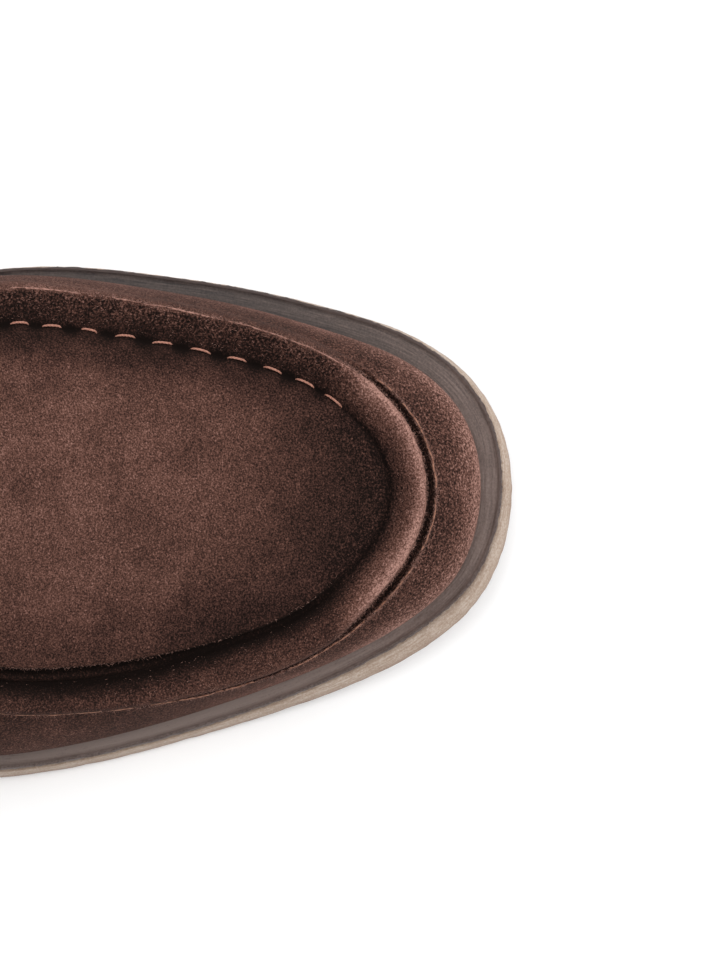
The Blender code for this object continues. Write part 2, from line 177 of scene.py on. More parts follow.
def lattice_noise(x: np.ndarray, y: np.ndarray, seed: int) -> np.ndarray:
    """Smooth seeded noise between -1 and 1 on a unit lattice.

    Args:
        x: First coordinate, in lattice cells.
        y: Second coordinate, in lattice cells.
        seed: Picks the pattern.

    Returns:
        The noise at each point.
    """
    table = np.random.default_rng(seed).uniform(-1, 1, (64, 64))
    i, j = np.floor(x).astype(int), np.floor(y).astype(int)
    u, v = ease(x - i), ease(y - j)
    a, b = table[i % 64, j % 64], table[(i + 1) % 64, j % 64]
    c, d = table[i % 64, (j + 1) % 64], table[(i + 1) % 64, (j + 1) % 64]
    return (a * (1 - u) + b * u) * (1 - v) + (c * (1 - u) + d * u) * v


def run_along(points: np.ndarray) -> np.ndarray:
    """Distance along a line to each of its points."""
    return np.concatenate([[0.0], np.cumsum(np.linalg.norm(np.diff(points, axis=0), axis=1))])


def read_line(at: np.ndarray, run: np.ndarray, line: np.ndarray) -> np.ndarray:
    """Points or vectors of a line at distances along it."""
    return np.stack([np.interp(at, run, line[:, i]) for i in range(3)], axis=1)


@dataclass(frozen=True)
class Last:
    """The wooden form that the shoe is built round, and the sole's outline under it."""

    length: float = 0.300
    ball_width: float = 0.1065
    outsole_thickness: float = 0.006
    midsole_thickness: float = 0.003
    insole_thickness: float = 0.003
    heel_height: float = 0.018
    toe_spring: float = 0.012
    breast_station: float = 0.25
    tread_stations: tuple[float, float] = (0.60, 0.74)
    flare: float = 0.0030
    welt_show: float = 0.0080
    instep_rise: float = 0.070
    counter_rise: float = 0.0595
    throat_station: float = 0.52
    tongue_station: float = 0.496
    wall_loop: tuple[float, float] = (0.027, 0.944)
    spine_station: float = 0.80
    overhang: float = 0.004
    belly_height: float = 0.3
    seat_gap: float = 0.0003
    outline_ends: tuple[float, float] = (0.023, 0.058)
    outline: Rows = (
        (0.020, -0.163, 0.210), (0.060, -0.270, 0.316), (0.120, -0.314, 0.359),
        (0.190, -0.324, 0.361), (0.280, -0.337, 0.338), (0.380, -0.370, 0.310),
        (0.460, -0.422, 0.336), (0.540, -0.477, 0.411), (0.600, -0.500, 0.470),
        (0.668, -0.492, 0.500), (0.756, -0.440, 0.484), (0.812, -0.395, 0.460),
        (0.868, -0.344, 0.423), (0.924, -0.276, 0.371), (0.952, -0.226, 0.326),
        (0.980, -0.145, 0.247),
    )  # fmt: skip
    flare_ends: tuple[float, float] = (0.32, 0.74)
    flare_rows: Rows = (
        (0.250, 0.32, 0.24), (0.600, 0.29, 0.12), (0.800, 0.36, 0.12),
        (0.880, 0.70, 0.18), (0.940, 1.04, 0.30), (0.980, 0.96, 0.50),
    )  # fmt: skip
    margin_rows: Rows = (
        (0.00, 0.39), (0.20, 0.35), (0.40, 0.37), (0.64, 0.53), (0.80, 0.57), (0.90, 0.74),
        (1.00, 1.00),
    )  # fmt: skip
    top_ends: tuple[float, float] = (0.021, 0.034)
    top_rows: Rows = (
        (0.045, -0.120, 0.162), (0.080, -0.200, 0.241), (0.140, -0.256, 0.289),
        (0.220, -0.283, 0.312), (0.360, -0.295, 0.315), (0.460, -0.313, 0.331),
        (0.520, -0.342, 0.358), (0.560, -0.366, 0.385), (0.600, -0.388, 0.414),
        (0.644, -0.403, 0.437), (0.700, -0.396, 0.431), (0.770, -0.368, 0.403),
        (0.848, -0.301, 0.347), (0.885, -0.238, 0.296), (0.915, -0.161, 0.228),
        (0.930, -0.102, 0.173),
    )  # fmt: skip
    collar_rows: Rows = (
        (0.060, 0.960, 0.962), (0.110, 0.870, 0.882), (0.180, 0.765, 0.795),
        (0.270, 0.675, 0.725), (0.360, 0.665, 0.722), (0.440, 0.755, 0.800),
    )  # fmt: skip
    belly_ends: tuple[float, float] = (0.70, 0.20)
    belly_rows: Rows = (
        (0.10, 0.50, 0.55), (0.25, 0.45, 0.75), (0.40, 0.60, 1.00), (0.52, 0.45, 0.70),
        (0.64, 0.22, 0.25),
    )  # fmt: skip
    ridge_rows: Rows = (
        (0.440, 1.065, 0.019, 0.428), (0.500, 0.978, 0.023, 0.394), (0.550, 0.873, 0.028, 0.358),
        (0.600, 0.765, 0.033, 0.327), (0.650, 0.666, 0.036, 0.305), (0.700, 0.582, 0.035, 0.297),
        (0.750, 0.510, 0.030, 0.290), (0.800, 0.446, 0.021, 0.277), (0.850, 0.386, 0.015, 0.267),
        (0.900, 0.318, 0.011, 0.257), (0.945, 0.250, 0.007, 0.250),
    )  # fmt: skip

    def y_of(self, station: np.ndarray) -> np.ndarray:
        """Place along the shoe of a station."""
        return self.length * (0.5 - np.asarray(station))

    def station_of(self, y: np.ndarray) -> np.ndarray:
        """Station of a place along the shoe."""
        return 0.5 - np.asarray(y) / self.length

    def tread(self, y: np.ndarray) -> np.ndarray:
        """Height of the outsole's underside."""
        station = self.station_of(y)
        back, front = self.tread_stations
        waist = ease((station - self.breast_station) / (back - self.breast_station))
        toe = np.clip((station - front) / (1 - front), 0, None)
        return self.heel_height * (1 - waist) + self.toe_spring * toe**2

    def midsole_bottom(self, y: np.ndarray) -> np.ndarray:
        """Height of the midsole's underside."""
        return self.tread(y) + self.outsole_thickness + self.seat_gap

    def seat(self, y: np.ndarray) -> np.ndarray:
        """Height at which upper and insole rest."""
        return self.midsole_bottom(y) + self.midsole_thickness + self.seat_gap

    def sole_outline(self, turn: np.ndarray) -> tuple[np.ndarray, np.ndarray]:
        """Outline of the outsole at its widest."""
        x = self.ball_width * around(self.outline, *self.outline_ends, turn)
        return x, self.y_of(station_at(turn))

    def wall_top_outline(self, turn: np.ndarray) -> tuple[np.ndarray, np.ndarray]:
        """Upper edge of the side wall seen from above."""
        x = self.ball_width * around(self.top_rows, *self.top_ends, turn, *self.wall_loop)
        return x, self.y_of(station_at(turn, *self.wall_loop))

    def sole_ring(self, turn: np.ndarray, inset: np.ndarray) -> tuple[np.ndarray, np.ndarray]:
        """Closed ring inside the outsole's outline, an inset in from it."""
        x, y = self.sole_outline(turn)
        nx, ny = outward(self.sole_outline, turn)
        return x - nx * inset, y - ny * inset

    def edge_flare(self, turn: np.ndarray) -> np.ndarray:
        """How far the outsole's top edge lies inside its widest outline."""
        return self.flare * around(self.flare_rows, *self.flare_ends, turn)

    def welt_margin(self, turn: np.ndarray) -> np.ndarray:
        """Width of sole that shows round the foot of the upper."""
        rows = self.margin_rows
        return self.welt_show * spline(column(rows, 0), column(rows, 1), station_at(turn))

    def top_surface(self, x: np.ndarray, y: np.ndarray) -> np.ndarray:
        """Height of the last's upper surface: a ridge with rounded shoulders."""
        station, stations = self.station_of(y), column(self.ridge_rows, 0)
        rise = self.instep_rise * spline(stations, column(self.ridge_rows, 1), station)
        offset = self.ball_width * spline(stations, column(self.ridge_rows, 2), station)
        crown = self.instep_rise * spline(stations, column(self.ridge_rows, 3), station)
        return self.seat(y) + rise - crown * ((x - offset) / (self.ball_width / 2)) ** 2

    def top_normals(self, points: np.ndarray) -> np.ndarray:
        """Outward normals of the last's upper surface at points of shape (..., 3)."""
        x, y, h = points[..., 0], points[..., 1], 0.5 * MM
        slope_x = (self.top_surface(x + h, y) - self.top_surface(x - h, y)) / (2 * h)
        slope_y = (self.top_surface(x, y + h) - self.top_surface(x, y - h)) / (2 * h)
        normal = np.stack([-slope_x, -slope_y, np.ones_like(x)], axis=-1)
        return normal / np.linalg.norm(normal, axis=-1, keepdims=True)

    def on_top(self, x: np.ndarray, y: np.ndarray) -> np.ndarray:
        """Points on the last's upper surface."""
        return np.stack([x, y, self.top_surface(x, y)], axis=-1)

    def throat_turn(self) -> float:
        """Loop angle of the throat's lateral corner."""
        return float(turn_at(self.throat_station, *self.wall_loop))

    def collar_rise(self, turn: np.ndarray, lateral: float, medial: float) -> np.ndarray:
        """Height of the collar above the seat.

        Args:
            turn: Loop angles.
            lateral: Height at the throat's lateral corner.
            medial: Height at its medial corner.

        Returns:
            The heights.
        """
        turns, corner = turn_at(column(self.collar_rows, 0), *self.wall_loop), self.throat_turn()
        knots = [-corner, *(-turns[::-1]), 0.0, *turns, corner]
        sides = [self.counter_rise * column(self.collar_rows, i) for i in (1, 2)]
        values = [medial, *sides[1][::-1], self.counter_rise, *sides[0], lateral]
        return spline(knots, values, (turn + math.pi) % FULL_TURN - math.pi)


def outward(
    curve: Callable[[np.ndarray], tuple[np.ndarray, np.ndarray]], turn: np.ndarray
) -> tuple[np.ndarray, np.ndarray]:
    """Horizontal outward normals of a closed curve that runs anticlockwise."""
    step = 0.01
    ahead, behind = curve(turn + step), curve(turn - step)
    dx, dy = ahead[0] - behind[0], ahead[1] - behind[1]
    length = np.hypot(dx, dy)
    return dy / length, -dx / length


class Skin:
    """Points, faces, face materials and point attributes of one piece, gathered bit by bit."""

    def __init__(self) -> None:
        """Starts empty."""
        self.points: list[np.ndarray] = []
        self.quads: list[np.ndarray] = []
        self.slots: list[np.ndarray] = []
        self.marks: dict[str, list[np.ndarray]] = {}
        self.count = 0

    def add(self, points: np.ndarray, **marks: np.ndarray | float) -> np.ndarray:
        """Adds a block of points.

        Args:
            points: Array of shape (..., 3).
            marks: Values for the points, one per named attribute.

        Returns:
            The points' indices, in the block's shape.
        """
        shape = points.shape[:-1]
        size = int(np.prod(shape))
        for name in set(self.marks) | set(marks):
            column_so_far = self.marks.setdefault(name, [np.zeros(self.count)] if self.count else [])
            column_so_far.append(np.broadcast_to(marks.get(name, 0.0), shape).reshape(-1))
        self.points.append(points.reshape(-1, 3))
        index = np.arange(self.count, self.count + size).reshape(shape)
        self.count += size
        return index

    def sheet(self, index: np.ndarray, slot: int = 0, wrap: bool = False, flip: bool = False) -> None:
        """Adds the quads between the rows of an index grid.

        Args:
            index: Grid of point indices.
            slot: Material slot of the faces.
            wrap: Whether each row closes on itself.
            flip: Whether the faces look the other way.
        """
        if wrap:
            index = np.concatenate([index, index[:, :1]], axis=1)
        a, b, c, d = index[:-1, :-1], index[:-1, 1:], index[1:, 1:], index[1:, :-1]
        corners = (a, d, c, b) if flip else (a, b, c, d)
        quads = np.stack([corner.reshape(-1) for corner in corners], axis=1)
        self.quads.append(quads)
        self.slots.append(np.full(len(quads), slot))

    def triangles(self, corners: np.ndarray, slot: int = 0) -> None:
        """Adds triangles from an array of index triples."""
        self.quads.append(np.concatenate([corners, corners[:, -1:]], axis=1))
        self.slots.append(np.full(len(corners), slot))

    def zip_rails(self, first: np.ndarray, second: np.ndarray, slot: int = 0) -> None:
        """Joins two rails of different counts with triangles.

        Args:
            first: Indices of one rail.
            second: Indices of the other, in the same direction.
            slot: Material slot of the faces.
        """
        i, j, faces = 0, 0, []
        last_i, last_j = len(first) - 1, len(second) - 1
        while i < last_i or j < last_j:
            if j == last_j or (i < last_i and (i + 1) * last_j <= (j + 1) * last_i):
                faces.append((first[i], first[i + 1], second[j], second[j]))
                i += 1
            else:
                faces.append((first[i], second[j + 1], second[j], second[j]))
                j += 1
        self.quads.append(np.array(faces))
        self.slots.append(np.full(len(faces), slot))

    def finish(self, name: str, part: Part, finishes: Sequence[bpy.types.Material]) -> bpy.types.Object:
        """Makes the object, smooth shaded, riding on the shoe's one body.

        Args:
            name: The piece's name.
            part: The node the piece stands for. Not used.
            finishes: Materials in slot order.

        Returns:
            The new object.
        """
        points, quads = np.concatenate(self.points), np.concatenate(self.quads)
        faces = [list(dict.fromkeys(quad)) for quad in quads.tolist()]
        keep = [i for i, face in enumerate(faces) if len(face) > 2]
        mesh = bpy.data.meshes.new(name)
        mesh.from_pydata(points.tolist(), [], [faces[i] for i in keep])
        for finish in finishes:
            mesh.materials.append(finish)
        mesh.polygons.foreach_set("material_index", np.concatenate(self.slots)[keep].astype(np.int32))
        for mark, values in self.marks.items():
            layer = mesh.attributes.new(mark, "FLOAT", "POINT")
            layer.data.foreach_set("value", np.concatenate(values).astype(np.float32))
        mesh.shade_smooth()
        item = bpy.data.objects.new(name, mesh)
        bpy.context.scene.collection.objects.link(item)
        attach(item, Body.ROOT.value)
        LOG.info("%s: %d faces", name, len(keep))
        return item


class Graph:
    """A material's node graph, built node by node."""

    def __init__(self, name: str) -> None:
        """Makes a material of that name with an empty graph."""
        self.material = bpy.data.materials.new(name)
        self.material.use_nodes = True
        self.tree = self.material.node_tree
        self.tree.nodes.clear()

    def node(
        self, kind: str, settings: dict[str, object] | None = None, **links: object
    ) -> bpy.types.Node:
        """Adds a node.

        Args:
            kind: The node's type name, without its ShaderNode prefix.
            settings: Properties of the node.
            links: For each input, by its name with spaces as underscores, or by in0, in1 and
                so on, a value, an output socket or a node whose first output is meant.

        Returns:
            The node.
        """
        node = self.tree.nodes.new("ShaderNode" + kind)
        for key, value in (settings or {}).items():
            setattr(node, key, value)
        for key, value in links.items():
            is_place = key.startswith("in") and key[2:].isdigit()
            target = node.inputs[int(key[2:])] if is_place else node.inputs[key.replace("_", " ")]
            if isinstance(value, bpy.types.Node):
                is_mix = value.bl_idname == "ShaderNodeMix"
                value = next(o for o in value.outputs if o.enabled) if is_mix else value.outputs[0]
            if isinstance(value, bpy.types.NodeSocket):
                self.tree.links.new(value, target)
            else:
                target.default_value = value
        return node

    def ramp(self, factor: object, stops: Sequence[tuple[float, str]]) -> bpy.types.Node:
        """Adds a colour ramp with sRGB hex stops."""
        node = self.node("ValToRGB", in0=factor)
        ramp = node.color_ramp
        while len(ramp.elements) < len(stops):
            ramp.elements.new(0.5)
        for element, (place, code) in zip(ramp.elements, stops):
            element.position, element.color = place, linear(code)
        return node

    def flow(self, along_mm: float, across_mm: float, detail_roughness: float) -> bpy.types.Node:
        """Adds streaks that run round the shoe, from the marks run_x, run_y and across.

        Args:
            along_mm: Length of a streak.
            across_mm: Its width.
            detail_roughness: How rough the pattern's finer detail is.

        Returns:
            The pattern's noise node.
        """
        sizes = {"run_x": along_mm, "run_y": along_mm, "across": across_mm}
        scaled = [
            self.node("Math", {"operation": "MULTIPLY"}, in0=self.mark(name), in1=frequency(size))
            for name, size in sizes.items()
        ]
        flow = self.node("CombineXYZ", in0=scaled[0], in1=scaled[1], in2=scaled[2])
        return self.node("TexNoise", Vector=flow, Scale=1.0, Detail=3.0, Roughness=detail_roughness)

    def mark(self, name: str) -> bpy.types.NodeSocket:
        """Reads a point attribute of the mesh."""
        return self.node("Attribute", {"attribute_name": name}).outputs["Fac"]

    def place(self) -> bpy.types.NodeSocket:
        """Place on the object, in metres."""
        return self.node("TexCoord").outputs["Object"]

    def shift(self, tone: object, noises: Sequence[tuple[object, float]]) -> object:
        """Adds noises to a tone, each centred on 0 and weighted."""
        for noise, weight in noises:
            centred = self.node("Math", {"operation": "SUBTRACT"}, in0=noise, in1=0.5)
            tone = self.node("Math", {"operation": "MULTIPLY_ADD"}, in0=centred, in1=weight, in2=tone)
        return tone

    def finish(self, surface: bpy.types.Node) -> bpy.types.Material:
        """Connects the shader to the output and returns the material."""
        self.node("OutputMaterial", Surface=surface)
        return self.material


def frequency(size_mm: float) -> float:
    """Noise scale whose features are about that many millimetres wide."""
    return 1 / (size_mm * MM)


@dataclass(frozen=True)
class Suede:
    """Cow suede, dyed dark brown and brushed.

    Its nap scatters light, so it looks matte and speckled. Its tone mark paints shade, nearly black
    in the seam's grooves, and painted highlight, lighter and pinker on the roll's crest and the toe.
    """

    name: str = "brushed cow suede"
    shades: tuple[str, ...] = ("#120c0a", "#1b120f", "#31201c", "#473029", "#604239", "#805f56", "#a78074")
    places: tuple[float, ...] = (0.0, 0.12, 0.28, 0.44, 0.60, 0.78, 1.0)
    # Real nap is about 0.1 mm and its tufts 0.2 mm, too fine to show, so both are coarser here.
    nap_mm: float = 0.34
    tuft_mm: float = 0.52
    brush_mm: float = 3.2
    mottle_mm: float = 15.0
    brush_weight: float = 0.22
    mottle_weight: float = 0.34
    speckle: float = 1.75
    tuft_share: float = 0.30
    coarse_tufts: float = 0.45
    coarse_speckle: float = 0.9
    roughness: float = 0.95
    specular: float = 0.06
    sheen: float = 0.05
    sheen_roughness: float = 0.45
    bump_strength: float = 0.6
    bump_depth: float = 0.0003

    def build(self) -> bpy.types.Material:
        """Builds the material.

        Returns:
            The material. It reads the marks tone and coarse of the mesh.
        """
        g = Graph(self.name)
        place = g.place()
        nap, tuft, brush, mottle = (
            g.node("TexNoise", Vector=place, Scale=frequency(size), Detail=detail, Roughness=rough)
            for size, detail, rough in (
                (self.nap_mm, 2.0, 0.6), (self.tuft_mm, 3.0, 0.7),
                (self.brush_mm, 3.0, 0.6), (self.mottle_mm, 3.0, 0.6),
            )
        )  # fmt: skip
        coarse, multiply_add = g.mark("coarse"), {"operation": "MULTIPLY_ADD"}
        share = g.node("Math", multiply_add, in0=coarse, in1=self.coarse_tufts, in2=self.tuft_share)
        speck = g.node("Mix", {"data_type": "FLOAT"}, Factor=share, A=nap, B=tuft)
        gain = g.node("Math", multiply_add, in0=coarse, in1=self.coarse_speckle, in2=1.0)
        gain = g.node("Math", {"operation": "MULTIPLY"}, in0=gain, in1=self.speckle)
        layers = ((speck, gain), (brush, self.brush_weight), (mottle, self.mottle_weight))
        # The tone mark holds painted shade and painted highlight as well as the suede's own tone.
        tone = g.shift(g.mark("tone"), layers)
        colour = g.ramp(tone, tuple(zip(self.places, self.shades)))
        height = g.node("Math", {"operation": "MULTIPLY"}, in0=speck, in1=gain)
        bump = g.node("Bump", Strength=self.bump_strength, Distance=self.bump_depth, Height=height)
        shader = g.node(
            "BsdfPrincipled",
            Base_Color=colour,
            Roughness=self.roughness,
            IOR=1.45,
            Specular_IOR_Level=self.specular,
            Sheen_Weight=self.sheen,
            Sheen_Roughness=self.sheen_roughness,
            Sheen_Tint=linear("#b69388"),
            Normal=bump,
        )
        return g.finish(shader)


@dataclass(frozen=True)
class Strand:
    """A fine strand whose colour changes along it."""

    name: str
    dark: str
    light: str
    change_mm: float = 1.3
    detail: float = 3.0
    spread: float = 0.18
    bump: float = 0.4
    roughness: float = 0.9
    ior: float = 1.45
    sheen: float = 0.0

    def build(self) -> bpy.types.Material:
        """Builds the material."""
        g = Graph(self.name)
        scale = frequency(self.change_mm)
        change = g.node("TexNoise", Vector=g.place(), Scale=scale, Detail=self.detail, Roughness=0.7)
        colour = g.ramp(change, ((0.5 - self.spread, self.dark), (0.5 + self.spread, self.light)))
        bump = g.node("Bump", Strength=self.bump, Distance=0.0001, Height=change)
        shader = g.node(
            "BsdfPrincipled",
            Base_Color=colour,
            Roughness=self.roughness,
            IOR=self.ior,
            Sheen_Weight=self.sheen,
            Normal=bump,
        )
        return g.finish(shader)


@dataclass(frozen=True)
class Fibre(Strand):
    """Loose suede fibres, teased out of a cut edge.

    Too fine to cast a shadow, they catch the light one by one as pale pinkish hairs.
    """


@dataclass(frozen=True)
class Thread(Strand):
    """Waxed polyester thread, twisted.

    The twist shows as fine slanting bands, and the wax gives it small warm highlights.
    """

    change_mm: float = 0.35
    detail: float = 2.0
    spread: float = 0.2
    bump: float = 0.5
    roughness: float = 0.5
    ior: float = 1.5
    sheen: float = 0.1


@dataclass(frozen=True)
class Leather:
    """Calf leather, dyed and finished with a little wax.

    Pores give it a fine grain, and the wax a soft low gloss.
    """

    name: str
    dark: str
    light: str
    roughness: float = 0.55
    # Real pores are about 0.2 mm apart, too fine to show, so they are coarser here.
    pore_mm: float = 0.7
    cloud_mm: float = 14.0
    coat: float = 0.08

    def build(self) -> bpy.types.Material:
        """Builds the material."""
        g = Graph(self.name)
        place = g.place()
        pores = g.node("TexVoronoi", Vector=place, Scale=frequency(self.pore_mm), Randomness=1.0)
        cloud = g.node("TexNoise", Vector=place, Scale=frequency(self.cloud_mm), Detail=4.0)
        tone = g.node("Math", {"operation": "MULTIPLY_ADD"}, in0=pores, in1=0.18, in2=cloud)
        colour = g.ramp(tone, ((0.3, self.dark), (0.85, self.light)))
        bump = g.node("Bump", Strength=0.35, Distance=0.00015, Height=pores)
        shader = g.node(
            "BsdfPrincipled",
            Base_Color=colour,
            Roughness=self.roughness,
            IOR=1.5,
            Coat_Weight=self.coat,
            Coat_Roughness=0.4,
            Normal=bump,
        )
        return g.finish(shader)


@dataclass(frozen=True)
class WeltLeather:
    """Midsole leather, stained grey-brown, its rim trimmed with a knife.

    The staining is dull, with fine streaks that run round the shoe, and the trimmed outer ridge
    stays rough, dark and reddish.
    """

    name: str = "stained midsole leather"
    shades: tuple[str, ...] = ("#2a211f", "#493d38", "#685852", "#7f6f68")
    places: tuple[float, ...] = (0.05, 0.36, 0.66, 0.95)
    ridge: str = "#342019"
    streak_mm: float = 7.0
    streak_width_mm: float = 0.35
    # Real trimmed grain is about 0.2 mm, too fine to show, so it is coarser here.
    grain_mm: float = 0.45
    grain_share: float = 0.4
    contrast: float = 1.5
    ridge_cover: float = 1.6

    def build(self) -> bpy.types.Material:
        """Builds the material, which reads the marks tone, ridge, run_x, run_y and across."""
        g = Graph(self.name)
        place = g.place()
        streak = g.flow(self.streak_mm, self.streak_width_mm, 0.6)
        grain = g.node("TexNoise", Vector=place, Scale=frequency(self.grain_mm), Detail=3.0, Roughness=0.6)
        mix = g.node("Mix", {"data_type": "FLOAT"}, Factor=self.grain_share, A=streak, B=grain)
        # The tone mark carries painted shade: darker on the medial side and next to the upper.
        tone = g.shift(g.mark("tone"), ((mix, self.contrast),))
        face = g.ramp(tone, tuple(zip(self.places, self.shades)))
        clamped = {"operation": "MULTIPLY", "use_clamp": True}
        broken = g.node("Math", clamped, in0=grain, in1=self.ridge_cover)
        share = g.node("Math", clamped, in0=g.mark("ridge"), in1=broken)
        colour = g.node("Mix", {"data_type": "RGBA"}, Factor=share, in6=face, in7=linear(self.ridge))
        bump = g.node("Bump", Strength=0.5, Distance=0.0002, Height=mix)
        shader = g.node("BsdfPrincipled", Base_Color=colour, Roughness=0.62, IOR=1.5, Normal=bump)
        return g.finish(shader)


@dataclass(frozen=True)
class CrepeRubber:
    """Natural tan rubber, cut and sanded.

    Sanding leaves a dull, speckled face with fine scratches along the edge, paler where the grit
    caught. The ridge mark makes it reddish-brown towards the bottom edge, and the tone mark lightens
    the edge's upper half as painted highlight.
    """

    name: str = "sanded natural rubber"
    shades: tuple[str, ...] = ("#705a4e", "#8c7564", "#9b8777", "#b4a497")
    places: tuple[float, ...] = (0.1, 0.38, 0.6, 0.9)
    reddish_band: str = "#6e4a3b"
    # Real sanding grit is about 0.15 mm, too fine to show, so it is coarser here.
    grit_mm: float = 0.45
    patch_mm: float = 6.0
    scratch_mm: float = 5.0
    scratch_width_mm: float = 0.3
    grit_share: float = 0.5
    contrast: float = 1.9
    patch_weight: float = 0.25

    def build(self) -> bpy.types.Material:
        """Builds the material, which reads the marks tone, ridge, run_x, run_y and across."""
        g = Graph(self.name)
        place = g.place()
        scratch = g.flow(self.scratch_mm, self.scratch_width_mm, 0.65)
        grit = g.node("TexNoise", Vector=place, Scale=frequency(self.grit_mm), Detail=3.0, Roughness=0.65)
        patch = g.node("TexNoise", Vector=place, Scale=frequency(self.patch_mm), Detail=3.0)
        mix = g.node("Mix", {"data_type": "FLOAT"}, Factor=self.grit_share, A=scratch, B=grit)
        # The tone mark lightens the edge's upper half as painted highlight.
        tone = g.shift(g.mark("tone"), ((mix, self.contrast), (patch, self.patch_weight)))
        face = g.ramp(tone, tuple(zip(self.places, self.shades)))
        reddish_band_linear = linear(self.reddish_band)
        colour = g.node("Mix", {"data_type": "RGBA"}, Factor=g.mark("ridge"), in6=face, in7=reddish_band_linear)
        bump = g.node("Bump", Strength=0.55, Distance=0.0003, Height=mix)
        shader = g.node("BsdfPrincipled", Base_Color=colour, Roughness=0.7, IOR=1.52, Normal=bump)
        return g.finish(shader)


class Zone(Enum):
    """Stretches of the seam, in the order of the section table's column groups."""

    MEDIAL = 0
    TOE = 1
    LATERAL_REAR = 2
    LATERAL_FRONT = 3


@dataclass
class Upper:
    """Suede side wall, rolled seam and apron, with the leather lining inside."""

    last: Last
    wall_thickness: float = 0.0022
    roll_width: float = 0.0089
    roll_height: float = 0.0042
    roll_fade: float = 0.012
    columns_rear: int = 90
    columns_front: int = 210
    wall_rows: int = 34
    seam_steps: int = 3
    apron_rows: int = 44
    lining_rows: int = 10
    rim_rise: float = 0.0007
    stitch_pitch: float = 0.0083
    stitch_anchor: float = 0.6547
    pucker_height: float = 0.00022
    back_seam_turn: float = 0.006
    back_seam_depth: float = 0.0005
    toe_start: float = 0.868
    toe_blend: float = 0.045
    lateral_start: float = 0.70
    lateral_blend: float = 0.12
    apron_tone: float = 0.49
    flank_fall: float = 0.10
    edge_shade: Rows = ((0.20, 6.0), (0.35, 15.0), (0.15, 14.0), (0.22, 13.0))
    # Across (share of the roll's width), height (share of its height) and tone in each zone:
    # medial, toe, lateral rear, lateral front. Rows run from the seam line in to the apron.
    # The tone darkens down the roll's inner slope into the grooves, near black in the lateral slot,
    # as painted shade, and rises to a painted highlight on the roll's crest, brightest at the toe.
    section: Rows = (
        (0.00, 0.02, 0.45, 0.00, 0.04, 0.36, 0.00, 0.02, 0.30, 0.00, 0.02, 0.40),
        (0.06, 0.18, 0.45, 0.03, 0.20, 0.46, 0.02, 0.14, 0.34, 0.02, 0.16, 0.42),
        (0.12, 0.36, 0.47, 0.07, 0.24, 0.44, 0.04, 0.22, 0.40, 0.045, 0.22, 0.44),
        (0.18, 0.52, 0.47, 0.11, 0.06, 0.24, 0.06, 0.24, 0.24, 0.07, 0.20, 0.20),
        (0.24, 0.66, 0.48, 0.18, -0.10, 0.18, 0.08, 0.34, 0.20, 0.10, 0.26, 0.14),
        (0.30, 0.79, 0.49, 0.25, 0.06, 0.26, 0.11, 0.50, 0.24, 0.14, 0.46, 0.30),
        (0.36, 0.90, 0.50, 0.30, 0.42, 0.46, 0.15, 0.74, 0.28, 0.19, 0.70, 0.42),
        (0.43, 1.00, 0.53, 0.35, 0.72, 0.78, 0.20, 0.88, 0.30, 0.25, 0.86, 0.42),
        (0.50, 1.05, 0.50, 0.42, 0.95, 0.86, 0.26, 0.98, 0.30, 0.33, 0.98, 0.40),
        (0.56, 1.00, 0.30, 0.50, 1.04, 0.80, 0.33, 1.00, 0.30, 0.42, 1.02, 0.38),
        (0.62, 0.86, 0.27, 0.60, 0.98, 0.66, 0.40, 0.98, 0.28, 0.53, 1.00, 0.36),
        (0.69, 0.64, 0.25, 0.71, 0.82, 0.56, 0.46, 0.86, 0.24, 0.64, 0.92, 0.34),
        (0.76, 0.40, 0.23, 0.82, 0.58, 0.47, 0.51, 0.60, 0.16, 0.74, 0.72, 0.30),
        (0.83, 0.14, 0.20, 0.92, 0.30, 0.38, 0.56, 0.00, 0.02, 0.83, 0.30, 0.14),
        (0.90, -0.10, 0.16, 1.00, 0.04, 0.26, 0.61, -0.50, -0.12, 0.90, -0.30, -0.08),
        (0.95, -0.27, 0.10, 1.05, -0.15, 0.12, 0.70, -0.36, 0.08, 0.95, -0.44, -0.04),
        (0.99, -0.38, 0.06, 1.09, -0.24, 0.02, 0.80, -0.34, 0.08, 1.00, -0.46, -0.04),
        (1.04, -0.38, 0.10, 1.13, -0.20, 0.08, 0.90, -0.52, -0.12, 1.05, -0.42, -0.10),
        (1.12, -0.28, 0.16, 1.18, -0.10, 0.12, 0.99, -0.24, 0.00, 1.10, -0.20, 0.00),
        (1.22, -0.18, 0.22, 1.26, -0.02, 0.14, 1.06, 0.14, 0.34, 1.16, 0.04, 0.22),
        (1.38, -0.07, 0.26, 1.40, 0.00, 0.15, 1.20, 0.22, 0.34, 1.26, 0.10, 0.24),
        (1.65, 0.00, 0.32, 1.65, 0.00, 0.17, 1.65, 0.00, 0.36, 1.65, 0.00, 0.26),
    )  # fmt: skip
    # Station, then the wall's tone on the lateral and the medial side, at its top and bulge.
    # The lighter medial side and the bulge brightening round the toe are partly painted light.
    top_tones: Rows = (
        (0.10, 0.42, 0.42), (0.50, 0.38, 0.44), (0.66, 0.33, 0.44), (0.80, 0.33, 0.38),
        (0.88, 0.32, 0.36), (0.95, 0.34, 0.38),
    )  # fmt: skip
    bulge_tones: Rows = (
        (0.10, 0.42, 0.42), (0.50, 0.38, 0.46), (0.66, 0.35, 0.52), (0.78, 0.42, 0.54),
        (0.86, 0.56, 0.58), (0.95, 0.68, 0.68),
    )  # fmt: skip
    # Top and bulge tone at the toe's tip; the bright bulge there is partly painted light.
    toe_tones: tuple[float, float] = (0.36, 0.72)
    # Share of the wall's height where its tone starts to change, and over what share.
    tone_rise: tuple[float, float] = (0.35, 0.6)
    # How dark the wall's foot is, and up to what share of its height.
    foot_shade: tuple[float, float] = (0.30, 0.045)
    plain_tone: float = 0.42
